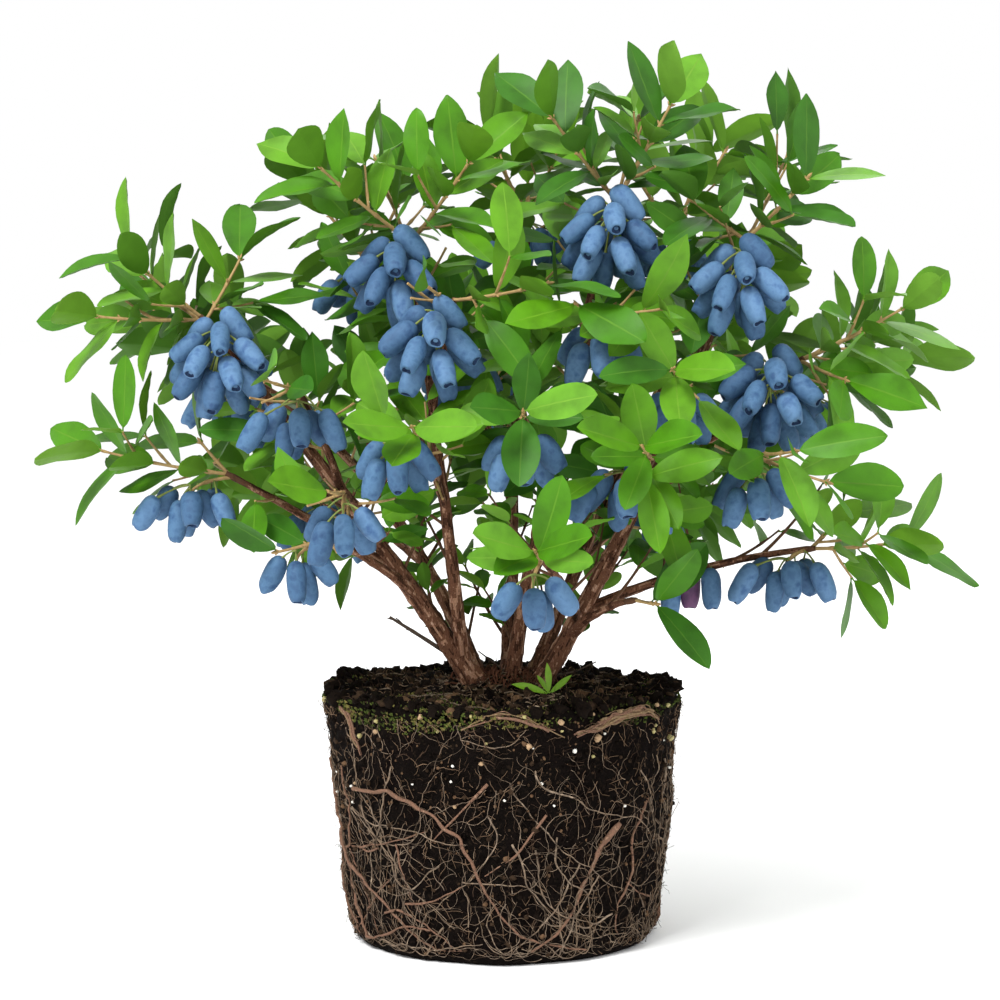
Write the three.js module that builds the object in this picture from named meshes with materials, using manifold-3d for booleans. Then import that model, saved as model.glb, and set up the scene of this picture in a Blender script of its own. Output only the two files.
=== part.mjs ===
// A fruiting haskap bush lifted out of its nursery pot: a bare root ball that keeps the
// shape of the pot, seven stems, their boughs, and on every tip a spray of leafy shoots
// with blue fruit hanging under its fork. Millimetres, +Z up. The origin is the middle of
// the flat underside of the root ball, and -Y is the front.

import * as THREE from 'three';
import { mergeVertices } from 'three/addons/utils/BufferGeometryUtils.js';
import Module from 'manifold-3d';

const wasm = await Module();
wasm.setup();

// Root ball, the inside of a 21 cm pot of about 4.5 litres
const RIM_RADIUS = 106;
const FOOT_RADIUS = 93;
const FLAT_RADIUS = 86;
const RIM_HEIGHT = 147;
const FOOT_HEIGHT = 9;
const SOIL_HEIGHT = 149;
const SOIL_FLAT_RADIUS = 48;
const BALL_SIDES = 28;
const SIDE_ROWS = 3;
const RIM_ROUND = 5;
const BALL_LUMP = 1.6;
// Waves round the side of the ball: how many, and how fast they drift round with height
const LUMP_WAVES = [[3, 40], [7, -17], [11, 9]];
const RIM_WAVES = 5;

// Air left between neighbouring solids
const CLEARANCE = 0.3;

// Edges shorter than this are merged where solids have been joined
const SLIVER = 0.02;

// Wood. Radii swell near the soil by FLARE, over FLARE_HEIGHT of the limb's length.
const STEM_SIDES = 8;
const STEM_STEPS = 7;
const BOUGH_SIDES = 5;
const BOUGH_STEPS = 4;
const BURIED = 10;
const FLARE = 0.35;
const FLARE_HEIGHT = 12;
const BOUGH_SHARE = 0.66;
const BOUGH_TIP_RADIUS = 1.8;

// Each stem: foot on the soil, the point that its curve leans towards, tip, radii
const STEMS = [
  { name: 'stem_left', foot: [-9, -6], lean: [-74, -16, 247], tip: [-172, -30, 367], base: 6.4, end: 2.1 },
  { name: 'stem_right', foot: [15, -8], lean: [85, -10, 257], tip: [139, -50, 412], base: 5.8, end: 2.1 },
  { name: 'stem_centre', foot: [3, 4], lean: [22, 10, 272], tip: [64, -50, 435], base: 4.5, end: 2.1 },
  { name: 'stem_right_rear', foot: [14, 12], lean: [50, 50, 242], tip: [113, 122, 349], base: 5, end: 2.1 },
  { name: 'stem_back_left', foot: [-9, 13], lean: [-60, 40, 277], tip: [-158, 78, 333], base: 4.7, end: 2.1 },
  { name: 'stem_back', foot: [3, 23], lean: [5, 50, 267], tip: [15, 73, 427], base: 4.7, end: 2.1 },
];

// Each bough: the limb that it leaves, how far along, how much it arches, and its tip
const BOUGHS = [
  { name: 'stem_centre_left', from: 'stem_left', at: 0.1, arch: 14, tip: [-53, -58, 410], base: 4.4 },
  { name: 'bough_centre_left', from: 'stem_centre_left', at: 0.62, arch: 4, tip: [-29, -98, 379] },
  { name: 'bough_front_left', from: 'stem_centre_left', at: 0.4, arch: 4, tip: [-46, -118, 306] },
  { name: 'bough_centre', from: 'stem_centre', at: 0.65, arch: 5, tip: [56, -97, 374] },
  { name: 'bough_front_centre', from: 'stem_centre', at: 0.42, arch: 8, tip: [12, -116, 317] },
  { name: 'bough_left_inner', from: 'stem_left', at: 0.55, arch: 3, tip: [-115, -68, 327] },
  { name: 'bough_far_left_lower', from: 'stem_left', at: 0.34, arch: 3, tip: [-155, -30, 277] },
  { name: 'bough_left_lower', from: 'stem_left', at: 0.28, arch: 8, tip: [-98, -58, 243] },
  { name: 'bough_front_left_low', from: 'stem_left', at: 0.42, arch: 6, tip: [-88, -108, 275] },
  { name: 'bough_right', from: 'stem_right', at: 0.55, arch: 3, tip: [168, -40, 345] },
  { name: 'bough_front_low', from: 'stem_right', at: 0.2, arch: 8, tip: [23, -128, 239] },
  { name: 'bough_front_right', from: 'stem_right', at: 0.42, arch: 6, tip: [83, -113, 294] },
  { name: 'bough_front_right_upper', from: 'stem_right', at: 0.62, arch: 4, tip: [100, -98, 339] },
  { name: 'bough_right_low', from: 'stem_right', at: 0.48, arch: 5, tip: [137, -88, 296] },
  { name: 'bough_far_right_lower', from: 'stem_right', at: 0.22, arch: 11, tip: [175, -30, 236] },
  { name: 'bough_low_right', from: 'stem_right', at: 0.16, arch: 8, tip: [72, -68, 210] },
  { name: 'bough_right_back', from: 'stem_right_rear', at: 0.5, arch: 8, tip: [182, 60, 325] },
  { name: 'bough_back_low_right', from: 'stem_right_rear', at: 0.35, arch: 6, tip: [93, 133, 250] },
  { name: 'bough_back_upper_right', from: 'stem_right_rear', at: 0.6, arch: 6, tip: [104, 55, 419] },
  { name: 'bough_back_upper_left', from: 'stem_back_left', at: 0.6, arch: 4, tip: [-84, 60, 399] },
  { name: 'bough_back_low_left', from: 'stem_back_left', at: 0.35, arch: 6, tip: [-108, 118, 255] },
  { name: 'bough_inner', from: 'stem_back', at: 0.4, arch: 4, tip: [-22, 8, 345] },
  { name: 'bough_back_centre', from: 'stem_back', at: 0.5, arch: 8, tip: [-15, 148, 339] },
  { name: 'twig_dead', from: 'stem_left', at: 0.12, arch: 0, tip: [-68, -12, 194], base: 1.6, end: 0.8 },
];

// Each spray: the limb that carries it, its shoots as azimuth and elevation in degrees and
// length, how many fruit hang on it, and where they hang, measured from the fork
const SPRAYS = [
  { name: 'spray_upper_left', limb: 'stem_centre_left', fruit: 9, hang: [-8, -24, -22],
    shoots: [[201, 37, 68], [-30, 47, 60], [113, 41, 72]] },
  { name: 'spray_centre_left', limb: 'bough_centre_left', fruit: 10, hang: [-12, -20, -28],
    shoots: [[-21, 9, 57], [-110, 10, 40]] },
  { name: 'spray_upper_centre', limb: 'stem_centre', fruit: 11, hang: [-5, -24, -26],
    shoots: [[-18, 59, 62], [207, 46, 63], [70, 50, 60]] },
  { name: 'spray_centre', limb: 'bough_centre', fruit: 4, hang: [-4, -8, -22],
    shoots: [[-30, 5, 35], [-120, 10, 35]] },
  { name: 'spray_upper_right', limb: 'stem_right', fruit: 10, hang: [-7, -26, -30],
    shoots: [[-17, 44, 48], [200, 30, 40], [64, 38, 84]] },
  { name: 'spray_right', limb: 'bough_right', fruit: 13, hang: [-22, -27, -24],
    shoots: [[-10, 27, 64], [-50, -20, 35], [30, 20, 50]] },
  { name: 'spray_far_left_upper', limb: 'stem_left', fruit: 13, hang: [14, -26, -28],
    shoots: [[194, 40, 54], [199, 0, 62], [23, 53, 42], [140, 25, 60]] },
  { name: 'spray_left_inner', limb: 'bough_left_inner', fruit: 6, hang: [0, -8, -24],
    shoots: [[-120, 10, 35]] },
  { name: 'spray_far_left_lower', limb: 'bough_far_left_lower', fruit: 6, hang: [-21, -5, -22],
    shoots: [[188, 11, 75], [150, 45, 25]] },
  { name: 'spray_left_lower', limb: 'bough_left_lower', fruit: 3, hang: [-15, -5, -22],
    shoots: [[211, -12, 30], [-60, -15, 18]] },
  { name: 'spray_front_low', limb: 'bough_front_low', fruit: 3, hang: [-5, -25, -22],
    shoots: [[-95, 12, 42]] },
  { name: 'spray_front_left', limb: 'bough_front_left', fruit: 4, hang: [-12, -8, -17],
    shoots: [[-93, 10, 46]] },
  { name: 'spray_front_centre', limb: 'bough_front_centre', fruit: 4, hang: [0, -8, -24],
    shoots: [[-90, 8, 42]] },
  { name: 'spray_front_right', limb: 'bough_front_right', fruit: 5, hang: [-17, -8, -22],
    shoots: [[-100, 12, 46]] },
  { name: 'spray_front_right_upper', limb: 'bough_front_right_upper', fruit: 4, hang: [0, -8, -24],
    shoots: [[-100, 8, 40]] },
  { name: 'spray_right_low', limb: 'bough_right_low', fruit: 4, hang: [0, -8, -24],
    shoots: [[-60, 5, 40], [-20, -20, 45]] },
  { name: 'spray_far_right_lower', limb: 'bough_far_right_lower', fruit: 6, hang: [-18, -5, -19],
    shoots: [[-6, 5, 54], [40, 40, 30]] },
  { name: 'spray_low_right', limb: 'bough_low_right', fruit: 0, hang: [0, 0, 0],
    shoots: [[-40, -5, 14]] },
  { name: 'spray_front_left_low', limb: 'bough_front_left_low', fruit: 4, hang: [0, -8, -22],
    shoots: [[-100, 5, 36]] },
  { name: 'spray_back_upper_left', limb: 'bough_back_upper_left', fruit: 6, hang: [0, 8, -24],
    shoots: [[130, 45, 70], [175, 50, 60], [-35, 55, 55]] },
  { name: 'spray_back_left', limb: 'stem_back_left', fruit: 7, hang: [0, 8, -24],
    shoots: [[150, 20, 75], [175, 35, 65], [110, 25, 60]] },
  { name: 'spray_back_upper', limb: 'stem_back', fruit: 6, hang: [0, 8, -24],
    shoots: [[90, 45, 65], [205, 58, 55], [-55, 50, 50]] },
  { name: 'spray_inner', limb: 'bough_inner', fruit: 4, hang: [0, -14, -20],
    shoots: [[-95, 30, 45], [165, 35, 50], [15, 40, 50]] },
  { name: 'spray_back_centre', limb: 'bough_back_centre', fruit: 7, hang: [0, 8, -24],
    shoots: [[95, 15, 75], [60, 35, 60], [130, 30, 60]] },
  { name: 'spray_back_right', limb: 'stem_right_rear', fruit: 7, hang: [0, 8, -24],
    shoots: [[45, 25, 80], [75, 30, 65], [15, 40, 60]] },
  { name: 'spray_right_back', limb: 'bough_right_back', fruit: 6, hang: [0, 8, -24],
    shoots: [[10, 15, 62], [40, 25, 60]] },
  { name: 'spray_back_low_left', limb: 'bough_back_low_left', fruit: 5, hang: [0, 8, -24],
    shoots: [[135, 5, 80], [160, 15, 60], [100, 10, 60]] },
  { name: 'spray_back_low_right', limb: 'bough_back_low_right', fruit: 5, hang: [0, 8, -24],
    shoots: [[50, 5, 80], [80, 10, 60], [20, 5, 50]] },
  { name: 'spray_back_upper_right', limb: 'bough_back_upper_right', fruit: 5, hang: [0, 8, -24],
    shoots: [[60, 45, 65], [15, 55, 55], [215, 45, 55]] },
];

// Shoots: three-sided twigs that curve upwards. They leave the short stem of the spray
// FORK_STEP apart, the first of them FORK_INSET before its end and the fruit's spur lowest.
const FORK_LENGTH = 10;
const FORK_RADIUS = 2;
const FORK_INSET = 1;
const FORK_STEP = 1.9;
const TWIG_SIDES = 3;
const TWIG_STEPS = 2;
const TWIG_CHECKS = 8;
const TWIG_BASE_RADIUS = 1;
const TWIG_TIP_RADIUS = 0.8;
const SHOOT_SAG = 0.04;

// Leaves sit in opposite pairs, each pair turned a quarter turn from the last. They lean
// out far at the foot of a shoot and less at its tip, and are shorter at the foot. They are
// a fifth larger than life, because there are fewer of them.
const PAIR_SHARES = [0.25, 0.6, 0.97];
const LEAF_LENGTH = 57;
const LEAF_WIDTH_SHARE = 0.48;
const LEAF_KEEL = 1;
const LEAF_WIDEST = 0.48;
const LEAF_FOLD = 0.22;
const LEAF_DROOP = 0.08;
const LEAF_START = 0.15;
const LEAF_GAP = 3.2;
const LEAF_CLEAR_FROM = 0.12;
const LEAF_ROWS = 8;
const LEAF_SHORT_FOOT = 0.38;
const LEAN_FOOT = 68;
const LEAN_TIP = 40;
const LEAN_JITTER = 16;
const ROLL_STEP = 90;
const ROLL_JITTER = 24;
const LENGTH_JITTER = 0.22;
const LEAF_TRIES = 5;
const TRY_SPREAD = 1.2;

// A leaf faces back along its shoot, up, and out from a line behind the middle of the bush,
// which counts less to the sides
const FACE_SHOOT = 0.65;
const FACE_UP = 0.65;
const FACE_OUT = 0.6;
const FACE_SIDE = 0.45;
const FACE_MIDDLE = 30;

// Fruit: hanging barrels packed round their centre until they clear each other, the wood
// and the other sprays, on stalks from a spur that reaches down from the fork
const FRUIT_SHARE = 0.6;
const FRUIT_LENGTH = 28;
const FRUIT_RADIUS = 8;
const FRUIT_SHOULDER = 5.5;
const FRUIT_SIDES = 5;
const FRUIT_CROWD = 1.2;
const FRUIT_SPLAY = 0.9;
const PACK_ROUNDS = 40;
const CROWD_PUSH = 0.4;
const GOLDEN_ANGLE = THREE.MathUtils.degToRad(137.5);
const SPUR_FALL = 0.3;
const STALK_RADIUS = 0.9;
const STALK_SINK = 3;

// A spray keeps SPACE_GAP closer to its own shoots than to any other spray's, LIMB_GAP
// from every limb and SOIL_GAP above the root ball
const SPACE_GAP = 2.4;
const LIMB_GAP = 2;
const SOIL_GAP = 5;

// Multiplier and modulus of the random numbers
const RANDOM_FACTOR = 16807;
const RANDOM_PRIME = 2147483647;

const UP = new THREE.Vector3(0, 0, 1);
const NO_PUSH = new THREE.Vector3();

const BARK = { color: 0x6b4a35, roughness: 0.85, metalness: 0 };
const DEAD_BARK = { color: 0x7a6a5c, roughness: 0.95, metalness: 0 };
const SOIL = { color: 0x2b211a, roughness: 1, metalness: 0 };
const FOLIAGE = { color: 0x4f7f35, roughness: 0.55, metalness: 0 };

function vector(xyz) {
  return new THREE.Vector3(...xyz);
}

function heading(azimuth, elevation) {
  const turn = THREE.MathUtils.degToRad(azimuth);
  const rise = THREE.MathUtils.degToRad(elevation);
  const level = Math.cos(rise);
  return new THREE.Vector3(Math.cos(turn) * level, Math.sin(turn) * level, Math.sin(rise));
}

// A repeatable stream of random numbers from 0 to 1 for one leaf, fruit or shoot
function randomStream(...keys) {
  let state = 1;
  const next = () => {
    state = (state * RANDOM_FACTOR) % RANDOM_PRIME;
    return state / RANDOM_PRIME;
  };
  for (const key of keys) {
    state = (state + key + 1) % RANDOM_PRIME;
    next();
    next();
  }
  return next;
}

function solidOf(geometry) {
  geometry.deleteAttribute('normal');
  geometry.deleteAttribute('uv');
  const merged = mergeVertices(geometry);
  const mesh = new wasm.Mesh({
    numProp: 3,
    vertProperties: merged.attributes.position.array,
    triVerts: Uint32Array.from(merged.index.array),
  });
  return new wasm.Manifold(mesh);
}

function geometryOf(solid) {
  const { vertProperties, triVerts } = solid.getMesh();
  const geometry = new THREE.BufferGeometry();
  geometry.setAttribute('position', new THREE.BufferAttribute(vertProperties, 3));
  geometry.setIndex(new THREE.BufferAttribute(triVerts, 1));
  geometry.computeVertexNormals();
  return geometry;
}

// The largest piece of a solid, without loose scraps, slivers or sealed hollows
function wholePiece(solid) {
  const pieces = solid.simplify(SLIVER).decompose();
  return pieces.reduce((best, piece) => (piece.volume() > best.volume() ? piece : best));
}

// A closed round limb along a curve, with its own radius at every step
function limbGeometry(curve, radiusAt, sides, steps) {
  const geometry = new THREE.CylinderGeometry(1, 1, 1, sides, steps);
  const frames = curve.computeFrenetFrames(steps);
  const position = geometry.attributes.position;
  for (let i = 0; i < position.count; i += 1) {
    const ring = Math.round((position.getY(i) + 0.5) * steps);
    const radius = radiusAt(ring / steps);
    const spot = curve.getPointAt(ring / steps)
      .addScaledVector(frames.binormals[ring], position.getX(i) * radius)
      .addScaledVector(frames.normals[ring], position.getZ(i) * radius);
    position.setXYZ(i, spot.x, spot.y, spot.z);
  }
  return geometry;
}

// Root ball: a turned section with a lumpy side and soil, and a true flat underside
function rootBall() {
  const { lerp } = THREE.MathUtils;
  const side = [];
  for (let row = 0; row <= SIDE_ROWS; row += 1) {
    const share = row / SIDE_ROWS;
    side.push([
      lerp(FOOT_RADIUS, RIM_RADIUS, share),
      lerp(FOOT_HEIGHT, RIM_HEIGHT - RIM_ROUND, share),
    ]);
  }
  const section = [
    [0, 0],
    [FLAT_RADIUS, 0],
    [lerp(FLAT_RADIUS, FOOT_RADIUS, Math.SQRT1_2), FOOT_HEIGHT * (1 - Math.SQRT1_2)],
    ...side,
    [RIM_RADIUS - RIM_ROUND, RIM_HEIGHT],
    [(RIM_RADIUS + SOIL_FLAT_RADIUS) / 2, (RIM_HEIGHT + SOIL_HEIGHT) / 2],
    [SOIL_FLAT_RADIUS, SOIL_HEIGHT],
    [0, SOIL_HEIGHT],
  ].map(([radius, height]) => new THREE.Vector2(radius, height));
  const geometry = new THREE.LatheGeometry(section, BALL_SIDES).rotateX(Math.PI / 2);
  const position = geometry.attributes.position;
  for (let i = 0; i < position.count; i += 1) {
    const x = position.getX(i);
    const y = position.getY(i);
    const z = position.getZ(i);
    const radius = Math.hypot(x, y);
    const turn = Math.atan2(y, x);
    if (radius > SOIL_FLAT_RADIUS + 1) {
      const waves = LUMP_WAVES.map(([count, drift]) => Math.sin(count * turn + z / drift));
      const grow = 1 + (BALL_LUMP * (waves[0] + waves[1] + waves[2])) / (2 * RIM_RADIUS);
      const rise = z >= RIM_HEIGHT - RIM_ROUND ? BALL_LUMP * Math.sin(RIM_WAVES * turn) : 0;
      position.setXYZ(i, x * grow, y * grow, z + rise);
    }
  }
  return solidOf(geometry);
}

// Limbs: every stem and bough as a curve, a radius along it, and a solid

const limbs = new Map();

function addLimb(limb) {
  const grown = (extra) => solidOf(
    limbGeometry(limb.curve, (share) => limb.radiusAt(share) + extra, limb.sides, limb.steps),
  );
  let solid = grown(0);
  for (const other of limbs.values()) {
    solid = solid.subtract(other.fat);
  }
  solid = solid.trimByPlane([0, 0, 1], SOIL_HEIGHT + CLEARANCE);
  limb.solid = wholePiece(solid);
  limb.fat = grown(CLEARANCE);
  limb.line = limb.curve.getSpacedPoints(limb.steps * 2);
  limbs.set(limb.name, limb);
}

function addStem({ name, foot, lean, tip, base, end }) {
  const start = vector([...foot, SOIL_HEIGHT - BURIED]);
  const curve = new THREE.QuadraticBezierCurve3(start, vector(lean), vector(tip));
  const length = curve.getLength();
  const radiusAt = (share) => {
    const above = Math.max(0, share * length - BURIED);
    return THREE.MathUtils.lerp(base, end, share) + base * FLARE * Math.exp(-above / FLARE_HEIGHT);
  };
  addLimb({ name, curve, radiusAt, sides: STEM_SIDES, steps: STEM_STEPS, look: BARK });
}

function addBough({ name, from, at, arch, tip, base, end = BOUGH_TIP_RADIUS }) {
  const parent = limbs.get(from);
  const start = parent.curve.getPointAt(at);
  const finish = vector(tip);
  const middle = start.clone().lerp(finish, 0.5).addScaledVector(UP, arch);
  const curve = new THREE.QuadraticBezierCurve3(start, middle, finish);
  const thick = base ?? parent.radiusAt(at) * BOUGH_SHARE;
  const radiusAt = (share) => THREE.MathUtils.lerp(thick, end, share);
  const look = end < BOUGH_TIP_RADIUS ? DEAD_BARK : BARK;
  addLimb({ name, curve, radiusAt, sides: BOUGH_SIDES, steps: BOUGH_STEPS, look });
}

// Sprays

function shootCurve(start, fork, [azimuth, elevation, length]) {
  const tip = fork.clone().addScaledVector(heading(azimuth, elevation), length);
  const middle = start.clone().lerp(tip, 0.5).addScaledVector(UP, -length * SHOOT_SAG);
  return new THREE.QuadraticBezierCurve3(start, middle, tip);
}

function addFrame(spray, index) {
  const { curve } = limbs.get(spray.limb);
  const along = curve.getTangentAt(1);
  const base = curve.getPointAt(1).addScaledVector(along, CLEARANCE);
  const fork = base.clone().addScaledVector(along, FORK_LENGTH);
  const [hangX, hangY, hangZ] = spray.hang;
  const spur = fork.clone().add(vector([hangX, hangY, hangZ * SPUR_FALL]));
  const centre = fork.clone().add(vector(spray.hang));
  const startOf = (rank) => fork.clone().addScaledVector(along, -FORK_INSET - FORK_STEP * rank);
  const shoots = spray.shoots.map((shoot, rank) => shootCurve(startOf(rank), fork, shoot));
  const spurFoot = startOf(spray.shoots.length);
  const shootLines = shoots.map((shoot) => shoot.getPoints(TWIG_CHECKS / 2));
  const lines = [[base, fork], [spurFoot, spur, centre], ...shootLines];
  return { ...spray, index, base, fork, spurFoot, spur, centre, shoots, lines };
}

function nearestOn(line, spot) {
  const piece = new THREE.Line3();
  let best = line[0];
  for (let i = 1; i < line.length; i += 1) {
    const point = piece.set(line[i - 1], line[i]).closestPointToPoint(spot, true, new THREE.Vector3());
    best = point.distanceTo(spot) < best.distanceTo(spot) ? point : best;
  }
  return best;
}

function nearestOf(lines, spot) {
  const points = lines.map((line) => nearestOn(line, spot));
  return points.reduce((best, point) => (point.distanceTo(spot) < best.distanceTo(spot) ? point : best));
}

// How far a point has to move, and which way, to lie a distance clear of a limb
function pushFromLimb(spot, limb, gap) {
  const near = nearestOn(limb.line, spot);
  const share = (near.z - limb.line[0].z) / (limb.line[limb.line.length - 1].z - limb.line[0].z);
  const away = spot.clone().sub(near);
  const short = limb.radiusAt(THREE.MathUtils.clamp(share, 0, 1)) + gap - away.length();
  return short > 0 ? away.setLength(short) : null;
}

// Whether a point is in a spray's own space, off the soil and clear of all wood
function isFree(spot, spray, sprays) {
  if (spot.z < SOIL_HEIGHT + SOIL_GAP && Math.hypot(spot.x, spot.y) < RIM_RADIUS + SOIL_GAP) {
    return false;
  }
  const own = nearestOf(spray.lines, spot).distanceTo(spot);
  for (const other of sprays) {
    if (other !== spray && nearestOf(other.lines, spot).distanceTo(spot) < own + SPACE_GAP) {
      return false;
    }
  }
  return ![...limbs.values()].some((limb) => pushFromLimb(spot, limb, LIMB_GAP));
}

// A leaf blade: a flat root and tip, two raised edges, and a keel under the midrib
function leafGeometry({ root, way, face, length }) {
  const side = new THREE.Vector3().crossVectors(face, way);
  const halfWidth = (length * LEAF_WIDTH_SHARE) / 2;
  const section = [[0, 0], [1, LEAF_WIDEST], [0, 1]].map(([x, y]) => new THREE.Vector2(x, y));
  const geometry = new THREE.LatheGeometry(section, 3);
  const position = geometry.attributes.position;
  for (let i = 0; i < position.count; i += 1) {
    const share = position.getY(i);
    const isKeel = position.getZ(i) > 0.5;
    const across = isKeel ? 0 : Math.sign(Math.round(position.getX(i))) * halfWidth;
    const lift = isKeel ? -LEAF_KEEL : Math.abs(across) * LEAF_FOLD;
    const droop = share === 1 ? length * LEAF_DROOP : 0;
    const spot = root.clone()
      .addScaledVector(way, share === 0 ? LEAF_START : share * length)
      .addScaledVector(side, across)
      .addScaledVector(face, lift - droop);
    position.setXYZ(i, spot.x, spot.y, spot.z);
  }
  return geometry;
}

// Points all over a leaf blade, from LEAF_CLEAR_FROM on to the tip, which have to be free
function leafSpots({ root, way, face, length }) {
  const side = new THREE.Vector3().crossVectors(face, way);
  const halfWidth = (length * LEAF_WIDTH_SHARE) / 2;
  const spots = [];
  for (let row = 0; row <= LEAF_ROWS; row += 1) {
    const along = THREE.MathUtils.lerp(LEAF_CLEAR_FROM, 1, row / LEAF_ROWS);
    const taper = along < LEAF_WIDEST ? along / LEAF_WIDEST : (1 - along) / (1 - LEAF_WIDEST);
    for (const across of [-1, -0.5, 0, 0.5, 1]) {
      const reach = across * halfWidth * taper;
      spots.push(root.clone()
        .addScaledVector(way, along * length)
        .addScaledVector(side, reach)
        .addScaledVector(face, Math.abs(reach) * LEAF_FOLD));
    }
  }
  return spots;
}

// The direction and face of a leaf that leans out from a shoot at a given roll
function leafPose(curve, share, roll, lean, length) {
  const along = curve.getTangentAt(share);
  const level = new THREE.Vector3().crossVectors(along, UP).normalize();
  const outward = level.clone().applyAxisAngle(along, THREE.MathUtils.degToRad(roll));
  const angle = THREE.MathUtils.degToRad(lean);
  const way = along.clone().multiplyScalar(Math.cos(angle)).addScaledVector(outward, Math.sin(angle));
  const root = nearestOn(curve.getSpacedPoints(TWIG_STEPS), curve.getPointAt(share));
  const inner = along.clone().addScaledVector(way, -Math.cos(angle)).normalize();
  const away = new THREE.Vector3(root.x * FACE_SIDE, root.y - FACE_MIDDLE, 0).normalize();
  const face = inner.multiplyScalar(FACE_SHOOT)
    .addScaledVector(UP, FACE_UP)
    .addScaledVector(away, FACE_OUT)
    .projectOnPlane(way)
    .normalize();
  return { root, way, face, length };
}

function growLeaf(spray, sprays, shootIndex, share, pair, side, taken) {
  const random = randomStream(spray.index, shootIndex, pair, side);
  const curve = spray.shoots[shootIndex];
  for (let attempt = 0; attempt < LEAF_TRIES; attempt += 1) {
    const spread = 1 + attempt * TRY_SPREAD;
    const roll = pair * ROLL_STEP + side * 180 + (random() - 0.5) * ROLL_JITTER * spread;
    const lean = THREE.MathUtils.lerp(LEAN_FOOT, LEAN_TIP, share)
      + (random() - 0.5) * LEAN_JITTER * spread;
    const short = 1 - LEAF_SHORT_FOOT * (1 - share) ** 2;
    const length = LEAF_LENGTH * short * (1 + (random() - 0.5) * LENGTH_JITTER);
    const leaf = leafPose(curve, share, roll, lean, length);
    const spots = leafSpots(leaf);
    const clear = spots.every((spot) => taken.every((other) => other.distanceTo(spot) > LEAF_GAP));
    if (clear && spots.every((spot) => isFree(spot, spray, sprays))) {
      taken.push(...spots);
      return leaf;
    }
  }
  return null;
}

// Centres of a bunch of fruit: a spiral ball, pushed apart until the fruit clear each
// other, the wood and the other sprays
function packFruit(count, spray, sprays) {
  const size = Math.cbrt(count) * FRUIT_RADIUS * FRUIT_CROWD;
  const squash = (2 * FRUIT_RADIUS) / FRUIT_LENGTH;
  const spots = [];
  for (let i = 0; i < count; i += 1) {
    const height = 1 - (2 * i + 1) / count;
    const ring = Math.sqrt(1 - height ** 2) * size;
    const turn = i * GOLDEN_ANGLE;
    const offset = new THREE.Vector3(Math.cos(turn) * ring, Math.sin(turn) * ring, (height * size) / squash);
    spots.push(offset.add(spray.centre));
  }
  for (let round = 0; round < PACK_ROUNDS; round += 1) {
    for (let i = 0; i < count; i += 1) {
      for (let j = 0; j < i; j += 1) {
        const apart = spots[i].clone().sub(spots[j]);
        apart.z *= squash;
        const push = (2 * FRUIT_RADIUS - apart.length()) / 2;
        if (push > 0) {
          apart.setLength(push);
          spots[i].add(apart);
          spots[j].sub(apart);
        }
      }
      for (const limb of limbs.values()) {
        spots[i].add(pushFromLimb(spots[i], limb, FRUIT_RADIUS + LIMB_GAP) ?? NO_PUSH);
      }
      const own = nearestOf(spray.lines, spots[i]).distanceTo(spots[i]);
      for (const other of sprays) {
        const away = spots[i].clone().sub(nearestOf(other.lines, spots[i]));
        const push = (own + 2 * FRUIT_RADIUS - away.length()) / 2;
        if (other !== spray && push > 0) {
          spots[i].add(away.setLength(push * CROWD_PUSH));
        }
      }
    }
  }
  return spots.map((centre) => {
    const way = centre.clone().sub(spray.centre).multiplyScalar(FRUIT_SPLAY / (2 * size));
    way.z = -1;
    return { centre, way: way.normalize() };
  });
}

function fruitGeometry({ centre, way }) {
  const shoulder = FRUIT_LENGTH / 2 - FRUIT_SHOULDER;
  const section = [
    new THREE.Vector2(0, -FRUIT_LENGTH / 2),
    new THREE.Vector2(FRUIT_RADIUS, -shoulder),
    new THREE.Vector2(FRUIT_RADIUS, shoulder),
    new THREE.Vector2(0, FRUIT_LENGTH / 2),
  ];
  const turn = new THREE.Quaternion().setFromUnitVectors(new THREE.Vector3(0, 1, 0), way);
  const geometry = new THREE.LatheGeometry(section, FRUIT_SIDES).applyQuaternion(turn);
  return geometry.translate(centre.x, centre.y, centre.z);
}

// A fruit's stalk, from the nearest point of the spur to just inside the top of the fruit
function stalkCurve({ centre, way }, spray) {
  const top = centre.clone().addScaledVector(way, STALK_SINK - FRUIT_LENGTH / 2);
  const hold = nearestOn([spray.spurFoot, spray.spur], top);
  return new THREE.LineCurve3(hold, top);
}

// Points all round a fruit and along its stalk, which have to be free
function fruitSpots(fruit, spray) {
  const spots = stalkCurve(fruit, spray).getPoints(TWIG_CHECKS / 2).slice(1);
  const end = FRUIT_LENGTH / 2;
  const shoulder = end - FRUIT_SHOULDER;
  for (const [height, wide] of [[-end, 0], [-shoulder, 1], [0, 1], [shoulder, 1], [end, 0]]) {
    const middle = fruit.centre.clone().addScaledVector(fruit.way, height);
    for (let i = 0; i < FRUIT_SIDES; i += 1) {
      const spot = heading((i * 360) / FRUIT_SIDES, 0).multiplyScalar(wide * FRUIT_RADIUS);
      spots.push(spot.add(middle));
    }
  }
  return spots;
}

function twigSolid(curve, foot, tip, steps) {
  const radiusAt = (share) => THREE.MathUtils.lerp(foot, tip, share);
  return solidOf(limbGeometry(curve, radiusAt, TWIG_SIDES, steps));
}

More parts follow.
